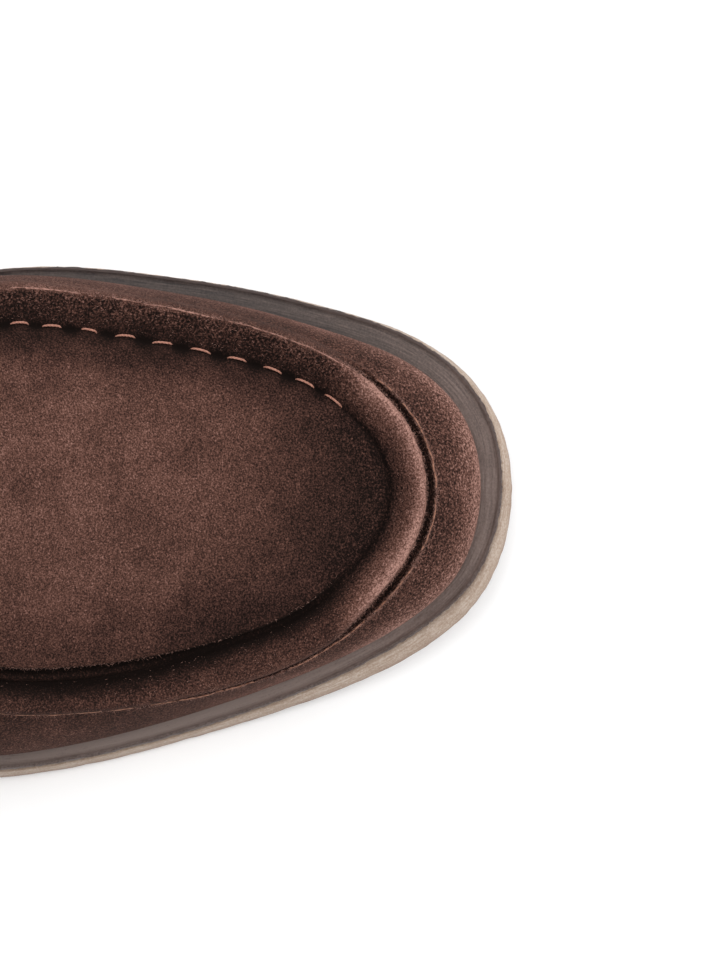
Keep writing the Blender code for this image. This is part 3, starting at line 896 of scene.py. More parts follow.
    # Middle and width, as across in the section table, of the puckers and the stitch holes.
    pucker_band: tuple[float, float] = (1.08, 0.16)
    hole_band: tuple[float, float] = (1.00, 0.05)
    # Tone added on the puckers as painted highlight and taken off in the stitch holes as painted shade.
    pucker_highlight: float = 0.10
    hole_shade: float = 0.25
    calm_share: float = 0.05
    # Station and length over which the medial flank darkens, and the rows where that ends.
    flank_front: tuple[float, float] = (0.68, 0.12)
    flank_rows: tuple[float, float] = (9.0, 1.5)
    edge_shade_power: float = 1.3
    # Rows where the coarse slope starts, over how many, where it ends, and over how many.
    slope_rows: tuple[float, float, float, float] = (8.0, 1.2, 15.5, 5.0)
    slope_coarse: tuple[float, float] = (0.25, 0.75)
    toe_coarse: float = 0.5
    wall_coarse: tuple[float, float] = (0.35, 0.4)
    wall_coarse_front: tuple[float, float] = (0.84, 0.1)
    rim_coarse: float = 0.2
    seam_shade: float = 0.25
    # Size in millimetres, height in millimetres and seed of the suede's unevenness.
    waves: Sequence[tuple[float, float, int]] = ((9.0, 0.20, 3), (3.5, 0.10, 5), (1.4, 0.035, 7))
    # Across, and how far the lining follows the roll, as a share of its height.
    lining_dips: Rows = (
        (0.10, 0.00), (0.30, 0.00), (0.50, 0.75), (0.65, 0.85), (0.80, 0.85), (0.95, 0.80),
        (1.10, 0.60), (1.35, 0.00),
    )  # fmt: skip
    lining_follow: float = 0.8

    def turns(self) -> np.ndarray:
        """Loop angles of the columns, closest together at the back seam and round the toe."""
        corner = self.last.throat_turn()
        seam = self.back_seam_turn * np.array([0.0, 0.5, 1.0, 1.6, 2.6, 4.5])
        rear = np.linspace(seam[-1], corner, self.columns_rear - len(seam) + 1, endpoint=False)
        front = np.linspace(corner, math.pi, self.columns_front, endpoint=False)
        lateral = np.concatenate([seam, rear[1:], front])
        return np.concatenate([lateral, [math.pi], FULL_TURN - lateral[:0:-1]])

    def front(self, count: int) -> np.ndarray:
        """Indices of the columns in front of the throat."""
        return np.arange(self.columns_rear, count - self.columns_rear + 1)

    def wall(self, turn: np.ndarray, rows: int) -> np.ndarray:
        """Grid of the side wall from its foot to its top edge.

        Args:
            turn: Loop angles of the columns.
            rows: Number of steps up the wall.

        Returns:
            Points of shape (rows + 1, columns, 3).
        """
        last = self.last
        foot_x, foot_y = last.sole_ring(turn, last.welt_margin(turn))
        foot = np.stack([foot_x, foot_y, last.seat(foot_y)], axis=1)
        x, y = last.wall_top_outline(turn)
        top = last.on_top(x, y)
        lateral, medial = self.columns_rear, len(turn) - self.columns_rear
        rise = top[:, 2] - last.seat(y)
        collar = np.r_[0 : lateral + 1, medial : len(turn)]
        heights = last.seat(y) + last.collar_rise(turn, rise[lateral], rise[medial])
        top[collar, 2] = heights[collar]
        nx, ny = outward(last.sole_outline, turn)
        normal = np.stack([nx, ny, np.zeros_like(nx)], axis=1)
        lean = ((top - foot) * normal).sum(axis=1)
        belly = last.overhang * around(last.belly_rows, *last.belly_ends, turn)
        v = last.belly_height
        middle_offset = (belly - v * (2 * v - 1) * lean) / (4 * v * (1 - v))
        middle = (foot + top) / 2 + normal * (middle_offset - lean / 2)[:, None]
        v = np.linspace(0, 1, rows + 1)[:, None, None]
        return foot * (1 - v) * (1 - 2 * v) + middle * 4 * v * (1 - v) + top * v * (2 * v - 1)

    def wall_tone(self, turn: np.ndarray) -> np.ndarray:
        """Tone of the wall's suede, of shape (wall_rows + 1, columns)."""
        top = around(self.top_tones, self.top_tones[0][1], self.toe_tones[0], turn)
        bulge = around(self.bulge_tones, self.bulge_tones[0][1], self.toe_tones[1], turn)
        v = np.linspace(0, 1, self.wall_rows + 1)[:, None]
        start, reach = self.tone_rise
        depth, fall = self.foot_shade
        share = ease((v - start) / reach)
        return top * share + bulge * (1 - share) - depth * np.exp(-v / fall)

    def inward(self, front_turn: np.ndarray, distance: np.ndarray) -> np.ndarray:
        """Points on the last at distances in from the seam line.

        Args:
            front_turn: Loop angles of the front columns.
            distance: Distances of shape (rows, 1) or (rows, columns).

        Returns:
            Points of shape (rows, columns, 3).
        """
        edge_x, edge_y = self.last.wall_top_outline(front_turn)
        nx, ny = outward(self.last.wall_top_outline, front_turn)
        nx[[0, -1]] = -1.0, 1.0
        ny[[0, -1]] = 0.0
        return self.last.on_top(edge_x - nx * distance, edge_y - ny * distance)

    def to_spine(self, front_turn: np.ndarray, edge: np.ndarray, rows: int) -> np.ndarray:
        """Points over the apron from its edge to the line down its middle.

        Args:
            front_turn: Loop angles of the front columns.
            edge: The apron's edge, one point for each column.
            rows: Number of steps.

        Returns:
            Points of shape (rows, columns, 3), without the edge itself.
        """
        last, corner = self.last, front_turn[0]
        share = (np.minimum(front_turn, FULL_TURN - front_turn) - corner) / (math.pi - corner)
        station = last.tongue_station + (last.spine_station - last.tongue_station) * np.clip(share, 0, 1)
        offset = spline(column(last.ridge_rows, 0), column(last.ridge_rows, 2), station)
        spine_x, spine_y = last.ball_width * offset, last.y_of(station)
        step = np.linspace(0, 1, rows + 1)[1:, None]
        x = edge[:, 0] + (spine_x - edge[:, 0]) * step
        y = edge[:, 1] + (spine_y - edge[:, 1]) * step * (2 - step)
        return last.on_top(x, y)

    def fade(self, edge: np.ndarray) -> np.ndarray:
        """Share of the roll's full height at each front column."""
        run = run_along(edge)
        return ease(np.minimum(run, run[-1] - run) / self.roll_fade)

    def zones(self, edge: np.ndarray) -> np.ndarray:
        """Shares of the four zones at each front column, of shape (4, columns)."""
        station = self.last.station_of(edge[:, 1])
        is_lateral = edge[:, 0] < self.last.ball_width * self.last.top_ends[1]
        toe = ease((station - self.toe_start) / self.toe_blend)
        front = ease((station - self.lateral_start) / self.lateral_blend)
        shares = np.zeros((len(Zone), len(station)))
        shares[Zone.MEDIAL.value] = np.where(is_lateral, 0, 1 - toe)
        shares[Zone.TOE.value] = toe
        shares[Zone.LATERAL_REAR.value] = np.where(is_lateral, (1 - toe) * (1 - front), 0)
        shares[Zone.LATERAL_FRONT.value] = np.where(is_lateral, (1 - toe) * front, 0)
        return shares

    def seam_profile(self, front_turn: np.ndarray, places: np.ndarray) -> tuple[np.ndarray, ...]:
        """Reads the section table at each front column.

        Args:
            front_turn: Loop angles of the front columns.
            places: Row numbers in the table, whole or between two, of shape (rows, 1) or
                (rows, columns).

        Returns:
            Points of shape (rows, columns, 3), their normals, and their tones.
        """
        edge = self.inward(front_turn, np.zeros((1, 1)))[0]
        fade, shares = self.fade(edge), self.zones(edge)
        table = np.array(self.section).reshape(len(self.section), len(Zone), 3)
        blend = np.einsum("rzk,zc->krc", table, shares)
        knots = np.arange(len(self.section), dtype=float)
        steps = np.linspace(0, knots[-1], (len(knots) - 1) * 6 + 1)
        basis = np.stack([spline(knots, unit, steps) for unit in np.eye(len(knots))], axis=1)
        straight = np.stack([np.interp(steps, knots, unit) for unit in np.eye(len(knots))], axis=1)
        fine = (straight @ blend[0], basis @ blend[1], basis @ blend[2])
        spot = np.clip(places, 0, knots[-1]) * 6 + np.zeros(len(front_turn))
        low = np.minimum(spot.astype(int), len(steps) - 2)
        part, columns = spot - low, np.arange(len(front_turn))
        across, height, tone = (f[low, columns] * (1 - part) + f[low + 1, columns] * part for f in fine)
        base = self.inward(front_turn, across * self.roll_width)
        normals = self.last.top_normals(base)
        relief = height * fade * self.roll_height + self.waviness(base, fade)
        pull = np.cos(FULL_TURN * self.stitch_phase(edge)) * fade
        band, hole = (
            np.exp(-(((across - middle) / width) ** 2)) * shares[Zone.MEDIAL.value]
            for middle, width in (self.pucker_band, self.hole_band)
        )
        relief = relief + pull * band * self.pucker_height
        # Puckers get painted highlight and stitch holes painted shade.
        tone = tone + self.pucker_highlight * pull * band - self.hole_shade * hole * ease(-pull)
        tone = tone * fade + self.plain_tone * (1 - fade)
        return base + normals * relief[..., None], normals, tone

    def stitch_phase(self, edge: np.ndarray) -> np.ndarray:
        """Stitches counted along the seam line from the anchor stitch on the medial side."""
        run = run_along(edge)
        tip = int(np.argmin(edge[:, 1]))
        station = self.last.station_of(edge[:, 1])
        anchor = np.interp(self.stitch_anchor, station[:tip:-1], run[:tip:-1])
        return (anchor - run) / self.stitch_pitch

    def outer_apron(self, front_turn: np.ndarray) -> tuple[np.ndarray, dict[str, np.ndarray]]:
        """Outer grid from just inside the seam line to the spine, with its marks.

        Args:
            front_turn: Loop angles of the front columns.

        Returns:
            Points of shape (rows, columns, 3), and the marks tone and coarse.
        """
        knots = len(self.section) - 1
        places = np.linspace(0, knots, knots * self.seam_steps + 1)[1:, None]
        roll, _, roll_tone = self.seam_profile(front_turn, places)
        edge = self.inward(front_turn, np.zeros((1, 1)))[0]
        last_row = self.inward(front_turn, np.full((1, 1), self.section[-1][0] * self.roll_width))[0]
        fade, shares = self.fade(edge), self.zones(edge)
        apron = self.to_spine(front_turn, last_row, self.apron_rows)
        wave = self.waviness(apron, np.ones(apron.shape[1]))
        calm = ease(np.linspace(1, 0, self.apron_rows + 1)[1:, None] / self.calm_share)
        apron += self.last.top_normals(apron) * (wave * calm * fade)[..., None]
        station = self.last.station_of(edge[:, 1])
        front, reach = self.flank_front
        fall = shares[Zone.MEDIAL.value] * self.flank_fall * ease((station - front) / reach)
        end, rows = self.flank_rows
        roll_tone = roll_tone - fall * ease((end - places) / rows)
        steps = np.linalg.norm(np.diff(np.concatenate([last_row[None], apron]), axis=0), axis=2)
        distance = np.cumsum(steps, axis=0) / MM
        depth, reach = (shares.T @ column(self.edge_shade, i) for i in (0, 1))
        tone = self.apron_tone - depth * np.exp(-((distance / reach) ** self.edge_shade_power))
        start, rise, end, rows = self.slope_rows
        slope = ease((places - start) / rise) * ease((end - places) / rows)
        medial, toe = shares[Zone.MEDIAL.value], shares[Zone.TOE.value]
        least, more = self.slope_coarse
        coarse = slope * (least + more * medial) + self.toe_coarse * toe * (1 - slope)
        apron_coarse = np.zeros_like(tone)
        return np.concatenate([roll, apron]), {
            "tone": np.concatenate([roll_tone, tone * fade + self.plain_tone * (1 - fade)]),
            "coarse": np.concatenate([coarse * fade, apron_coarse]),
        }

    def waviness(self, grid: np.ndarray, fade: np.ndarray) -> np.ndarray:
        """Small unevenness of hand-stretched suede, in metres."""
        total = np.zeros(grid.shape[:-1])
        for size, height, seed in self.waves:
            cells = grid[..., :2] / (size * MM)
            total += lattice_noise(cells[..., 0], cells[..., 1], seed) * height
        return total * MM * fade

    def outer_normals(self, wall: np.ndarray, front: np.ndarray) -> np.ndarray:
        """Outward normals of a wall grid, turned upward along the seam line.

        Args:
            wall: The wall's points.
            front: Indices of the columns in front of the throat.

        Returns:
            Vectors of the grid's shape, long enough at the seam to keep the thickness.
        """
        along = np.roll(wall, -1, axis=1) - np.roll(wall, 1, axis=1)
        normal = np.cross(along, np.gradient(wall, axis=0))
        normal /= np.linalg.norm(normal, axis=2, keepdims=True)
        side, over = normal[-1][front], self.last.top_normals(wall[-1][front])
        normal[-1][front] = (side + over) / (1 + (side * over).sum(axis=1, keepdims=True))
        return normal

    def build(self, finishes: Sequence[bpy.types.Material]) -> None:
        """Builds the suede with its lining as one closed skin.

        Args:
            finishes: The suede, then the lining.
        """
        turn = self.turns()
        front = self.front(len(turn))
        wall = self.wall(turn, self.wall_rows)
        tone = self.wall_tone(turn)
        signed = (turn + math.pi) % FULL_TURN - math.pi
        groove = np.exp(-((signed / self.back_seam_turn) ** 2)) * self.back_seam_depth
        normal = self.outer_normals(wall, front)
        wall = wall - normal * groove[:, None]
        apron, marks = self.outer_apron(turn[front])
        station = self.last.station_of(wall[..., 1])
        skin = Skin()
        tone = tone - groove / self.back_seam_depth * self.seam_shade
        (least, more), (start, reach) = self.wall_coarse, self.wall_coarse_front
        wall_index = skin.add(wall, tone=tone, coarse=least + more * ease((station - start) / reach))
        half = len(front) // 2
        apron_index = skin.add(apron, **marks)
        apron_index[-1, half:] = apron_index[-1, : half + 1][::-1]
        skin.sheet(wall_index, wrap=True)
        skin.sheet(np.concatenate([wall_index[-1:, front], apron_index]))
        inner_wall, inner_apron = self.lining(turn)
        inner_wall_index = skin.add(inner_wall)
        inner_index = skin.add(inner_apron)
        inner_index[-1, half:] = inner_index[-1, : half + 1][::-1]
        skin.sheet(inner_wall_index, slot=1, wrap=True, flip=True)
        skin.sheet(np.concatenate([inner_wall_index[-1:, front], inner_index]), slot=1, flip=True)
        skin.sheet(np.stack([inner_wall_index[0], wall_index[0]]), slot=1, wrap=True)
        heel = np.arange(len(turn) - self.columns_rear, len(turn) + self.columns_rear + 1) % len(turn)
        rim = (wall[-1, heel] + inner_wall[-1, heel]) / 2
        rim[1:-1, 2] += self.rim_rise
        rim_index = skin.add(rim, tone=self.plain_tone, coarse=self.rim_coarse)
        skin.sheet(np.stack([wall_index[-1, heel], rim_index, inner_wall_index[-1, heel]]))
        outer_edge = np.concatenate([wall_index[-1:, front], apron_index])
        inner_edge = np.concatenate([inner_wall_index[-1:, front], inner_index])
        for side, (near, far) in ((0, (outer_edge, inner_edge)), (-1, (inner_edge, outer_edge))):
            skin.zip_rails(near[:, side], far[:, side])
        for place, ring in ((0, rim_index[-1]), (-1, rim_index[0])):
            corner = wall_index[-1, front[place]], inner_wall_index[-1, front[place]]
            order = (corner[0], ring, corner[1]) if place == 0 else (corner[1], ring, corner[0])
            skin.triangles(np.array([order])[:, ::-1])
        item = skin.finish("suede_upper", Part.UPPER, finishes)
        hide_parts(Part.UPPER.value)

    def lining(self, turn: np.ndarray) -> tuple[np.ndarray, np.ndarray]:
        """Inner grids of wall and apron.

        Args:
            turn: Loop angles of the columns.

        Returns:
            The wall's grid and the apron's grid.
        """
        last, front = self.last, self.front(len(turn))
        wall = self.wall(turn, self.lining_rows)
        inner_wall = wall - self.wall_thickness * self.outer_normals(wall, front)
        inner_wall[0, :, 2] = last.seat(inner_wall[0, :, 1])
        across, dip = (column(self.lining_dips, i)[:, None] for i in (0, 1))
        base = self.inward(turn[front], across * self.roll_width)
        fade = self.fade(self.inward(turn[front], np.zeros((1, 1)))[0])
        grid = np.concatenate([base, self.to_spine(turn[front], base[-1], self.lining_rows)])
        depth = np.full(grid.shape[:2], self.wall_thickness)
        depth[: len(across)] += dip * fade * self.roll_height * self.lining_follow
        return inner_wall, grid - last.top_normals(grid) * depth[..., None]


@dataclass(frozen=True)
class Fringe:
    """Where fibres stand along the seam.

    The place is a row of the section table, per zone, and the amount is fibres a millimetre.
    """

    places: tuple[float, float, float, float]
    amounts: tuple[float, float, float, float]
    length: float
    spread: float


@dataclass
class SeamWork:
    """What is sewn and cut along the rolled seam: saddle stitches, raw edges and fibres."""

    upper: Upper
    stitch_length: float = 0.0045
    strand_radius: float = 0.00013
    strand_gap: float = 0.00014
    strand_pitch: float = 0.0021
    strands: int = 3
    stitch_places: tuple[float, float, float, float] = (15.7, 15.8, 15.6, 15.6)
    stitch_lift: float = 0.00035
    sunk_lift: float = -0.0006
    stitch_sink: float = 0.0004
    stitch_skew: float = 0.00012
    stitch_stretch: float = 0.07
    sides: int = 6
    rings: int = 15
    path_points: int = 2600
    # Real fibres are about 0.02 mm thick. They are thicker here, so that they show.
    fibre_radius: float = 0.00006
    edge_width: float = 0.00020
    edge_height: float = 0.00028
    topline_drop: float = 0.0026
    topline_pitch: float = 0.0030
    topline_fill: float = 0.72
    topline_lift: float = 0.0001
    topline_rows: int = 60
    # Size in millimetres and seed of a raw edge's wander, jags and gaps.
    edge_patterns: Sequence[tuple[float, int]] = ((2.2, 11), (0.5, 12), (3.7, 14))
    edge_wander: float = 0.00014
    edge_jag: float = 0.00005
    edge_sink: float = 0.0003
    fibre_sink: float = 0.00006
    # Share of dark fibres over the roll, then along an edge.
    dark_shares: tuple[float, float] = (0.55, 0.12)
    scatter_rows: tuple[float, float] = (6.5, 15.0)
    scatter_share: float = 0.8
    fringes: Sequence[Fringe] = (
        Fringe((7.7, 6.7, 6.6, 6.5), (9.0, 22.0, 0.0, 1.0), 0.00085, 0.00024),
        Fringe((7.7, 1.8, 1.9, 1.9), (0.0, 22.0, 8.0, 10.0), 0.00080, 0.00022),
        Fringe((19.0, 19.0, 19.0, 19.0), (0.0, 0.0, 9.0, 3.0), 0.00065, 0.00022),
        Fringe((11.0, 9.0, 9.5, 9.5), (22.0, 12.0, 12.0, 12.0), 0.00060, 0.0022),
    )

    def path(self, places: Sequence[float]) -> tuple[np.ndarray, ...]:
        """A line along the seam.

        Args:
            places: Row of the section table for the line in each zone.

        Returns:
            Points, normals, tangents, zone shares and the run from the lateral throat corner.
        """
        upper, corner = self.upper, self.upper.last.throat_turn()
        turn = np.linspace(corner, FULL_TURN - corner, self.path_points)
        shares = upper.zones(upper.inward(turn, np.zeros((1, 1)))[0])
        points, normals, _ = upper.seam_profile(turn, (np.array(places) @ shares)[None])
        points, normals = points[0], normals[0]
        step = np.gradient(points, axis=0)
        tangents = step / np.linalg.norm(step, axis=1, keepdims=True)
        run = run_along(points)
        return points, normals, tangents, shares, run

    def sew(
        self,
        skin: Skin,
        points: np.ndarray,
        normals: np.ndarray,
        starts: np.ndarray,
        length: float,
        lift: float,
    ) -> None:
        """Adds twisted stitches along a line.

        Args:
            skin: Where they go.
            points: The line.
            normals: The surface's normals along it.
            starts: Run at the middle of each stitch.
            length: Length of a stitch.
            lift: How far its middle stands off the line.
        """
        run = run_along(points)
        share = np.linspace(-0.5, 0.5, self.rings)
        angle = np.linspace(0, FULL_TURN, self.sides, endpoint=False)
        rng = np.random.default_rng(21)
        for middle in starts:
            skew, stretch = rng.normal(0, self.stitch_skew), rng.normal(1, self.stitch_stretch)
            at = middle + share * length * stretch
            centre = read_line(at, run, points)
            up = read_line(at, run, normals)
            along = np.gradient(centre, axis=0)
            along /= np.linalg.norm(along, axis=1, keepdims=True)
            side = np.cross(up, along)
            bow = 1 - (2 * share) ** 4
            height = lift * bow - self.stitch_sink * (1 - bow)
            centre = centre + up * height[:, None] + side * (skew * 2 * share)[:, None]
            for strand in range(self.strands):
                phase = FULL_TURN * (share * length / self.strand_pitch + strand / self.strands)
                offset = side * np.cos(phase)[:, None] + up * np.sin(phase)[:, None]
                core = centre + offset * self.strand_gap * (0.4 + 0.6 * bow)[:, None]
                width = (self.strand_radius * (0.5 + 0.5 * bow))[:, None, None]
                across = side[:, None] * np.cos(angle)[:, None] + up[:, None] * np.sin(angle)[:, None]
                index = skin.add(core[:, None] + width * across)
                skin.sheet(index, wrap=True)
                for end, flip in ((index[0], True), (index[-1], False)):
                    pairs = np.stack([end[: self.sides // 2], end[::-1][: self.sides // 2]])
                    skin.sheet(pairs, flip=flip)

    def stitches(self, finishes: Sequence[bpy.types.Material]) -> None:
        """Saddle stitches along the inner foot of the roll, in plain sight on the medial side.

        Args:
            finishes: Thread where it shows, and the same thread darkened as painted shade for the deep
                groove.
        """
        points, normals, _, shares, run = self.path(self.stitch_places)
        corner = self.upper.last.throat_turn()
        turn = np.linspace(corner, FULL_TURN - corner, self.path_points)
        phase = self.upper.stitch_phase(self.upper.inward(turn, np.zeros((1, 1)))[0])
        numbers = np.arange(math.ceil(phase[-1]) + 1, math.floor(phase[0]))
        middles = np.interp(-numbers, -phase, run)
        medial = np.interp(middles, run, shares[Zone.MEDIAL.value])
        for name, finish, chosen in (
            ("saddle_stitches", finishes[0], middles[medial > 0.5]),
            # The sunk stitches take the thread darkened as painted shade.
            ("sunk_stitches", finishes[1], middles[medial <= 0.5]),
        ):
            skin = Skin()
            lift = self.stitch_lift if finish is finishes[0] else self.sunk_lift
            self.sew(skin, points, normals, chosen, self.stitch_length, lift)
            skin.finish(name, Part.UPPER, [finish])

    def topline(self, finish: bpy.types.Material) -> None:
        """Small stitches round the collar, under its edge."""
        upper = self.upper
        turn = upper.turns()
        wall = upper.wall(turn, self.topline_rows)
        normal = upper.outer_normals(wall, upper.front(len(turn)))
        drop = np.cumsum(np.linalg.norm(np.diff(wall[::-1], axis=0), axis=2), axis=0)
        row = len(wall) - 2 - np.argmax(drop > self.topline_drop, axis=0)
        heel = np.arange(len(turn) - upper.columns_rear + 3, len(turn) + upper.columns_rear - 2) % len(turn)
        points, normals = wall[row[heel], heel], normal[row[heel], heel]
        run = np.linalg.norm(np.diff(points, axis=0), axis=1).sum()
        starts = np.arange(1, int(run / self.topline_pitch)) * self.topline_pitch
        skin = Skin()
        length = self.topline_pitch * self.topline_fill
        self.sew(skin, points, normals, starts, length, self.topline_lift)
        skin.finish("topline_stitches", Part.UPPER, [finish])

    def raw_edge(
        self, name: str, places: Sequence[float], heights: Sequence[float], finish: bpy.types.Material
    ) -> None:
        """A cut edge of the suede: a thin pale uneven lip along the roll.

        Args:
            name: The piece's name.
            places: Row of the section table for the edge in each zone.
            heights: Share of its full height in each zone.
            finish: Its material.
        """
        points, normals, tangents, shares, run = self.path(places)
        side = np.cross(normals, tangents)
        wander, jag, gaps = (
            lattice_noise(run / (size * MM), run * 0, seed) for size, seed in self.edge_patterns
        )
        broken = ease(0.75 + 0.9 * gaps)
        level = (np.array(heights) @ shares) * self.upper.fade(points) * (0.35 + 0.65 * broken)
        keep = level > 0.05
        centre = points + side * (wander * self.edge_wander + jag * self.edge_jag)[:, None]
        height = self.edge_height * (0.7 + 0.5 * jag) * level
        width = self.edge_width * (1 + 0.35 * jag) * (0.3 + 0.7 * level)
        profile = ((-1.0, -0.6), (-0.8, 0.5), (0.0, 1.0), (0.8, 0.5), (1.0, -0.6))
        sink = (1 - level) * self.edge_sink
        rails = [
            centre + side * (width * across)[:, None] + normals * (height * up - sink)[:, None]
            for across, up in profile
        ]
        skin = Skin()
        index = skin.add(np.stack(rails)[:, keep])
        skin.sheet(np.concatenate([index, index[:1]]), flip=True)
        for end, flip in ((index[:, 0], False), (index[:, -1], True)):
            skin.sheet(np.stack([end[:2], end[::-1][:2]]), flip=flip)
        skin.finish(name, Part.UPPER, [finish])

    def fibres(self, finishes: Sequence[bpy.types.Material]) -> None:
        """Short hairs along the cut edges and over the brushed roll.

        Args:
            finishes: The pale fibre, then the dark one.
        """
        rng = np.random.default_rng(8)
        skin = Skin()
        for fringe in self.fringes:
            points, normals, tangents, shares, run = self.path(fringe.places)
            amount = (np.array(fringe.amounts) @ shares) * self.upper.fade(points)
            total = np.concatenate([[0.0], np.cumsum((amount[1:] + amount[:-1]) / 2 * np.diff(run) / MM)])
            count = int(total[-1])
            at = np.interp(rng.uniform(0, total[-1], count), total, run)
            base, up, along = (read_line(at, run, line) for line in (points, normals, tangents))
            side = np.cross(up, along)
            shift = rng.normal(0, fringe.spread, (count, 1))
            is_scattered = fringe.spread > 1 * MM
            if is_scattered:
                base, shift = self.over_roll(at, run, fringe, rng), shift * 0
            base = base + side * shift
            lean = up * rng.uniform(0.15, 0.8, (count, 1))
            lean += side * rng.normal(0, 0.7, (count, 1)) + along * rng.normal(0, 0.7, (count, 1))
            lean /= np.linalg.norm(lean, axis=1, keepdims=True)
            length = fringe.length * rng.uniform(0.4, 1.3, (count, 1))
            foot = base - up * self.fibre_sink
            third = np.cross(lean, side)
            corners = [
                foot + self.fibre_radius * (side * math.cos(a) + third * math.sin(a))
                for a in (0.0, FULL_TURN / 3, FULL_TURN * 2 / 3)
            ]
            index = skin.add(np.stack([*corners, foot + lean * length], axis=1))
            dark = rng.uniform(0, 1, count) < self.dark_shares[0 if is_scattered else 1]
            for slot, chosen in ((0, index[~dark]), (1, index[dark])):
                for order in ((0, 1, 3), (1, 2, 3), (2, 0, 3), (2, 1, 0)):
                    skin.triangles(chosen[:, order], slot)
        skin.finish("loose_fibres", Part.UPPER, finishes)

    def over_roll(
        self, at: np.ndarray, run: np.ndarray, fringe: Fringe, rng: np.random.Generator
    ) -> np.ndarray:
        """Spots scattered over the roll's surface.

        Args:
            at: Run of each spot.
            run: Run of the path's points.
            fringe: The fringe, whose places are the middle of the scattered band.
            rng: Source of chance.

        Returns:
            Points on the surface.
        """
        upper, corner = self.upper, self.upper.last.throat_turn()
        turn = np.interp(at, run, np.linspace(corner, FULL_TURN - corner, self.path_points))
        order = np.argsort(turn)
        place = rng.uniform(*self.scatter_rows, len(at))
        shares = upper.zones(upper.inward(turn[order], np.zeros((1, 1)))[0])
        middle = np.array(fringe.places) @ shares
        place = place[order] * self.scatter_share + middle * (1 - self.scatter_share)
        points, _, _ = upper.seam_profile(turn[order], place[None])
        result = np.empty((len(at), 3))
        result[order] = points[0]
        return result


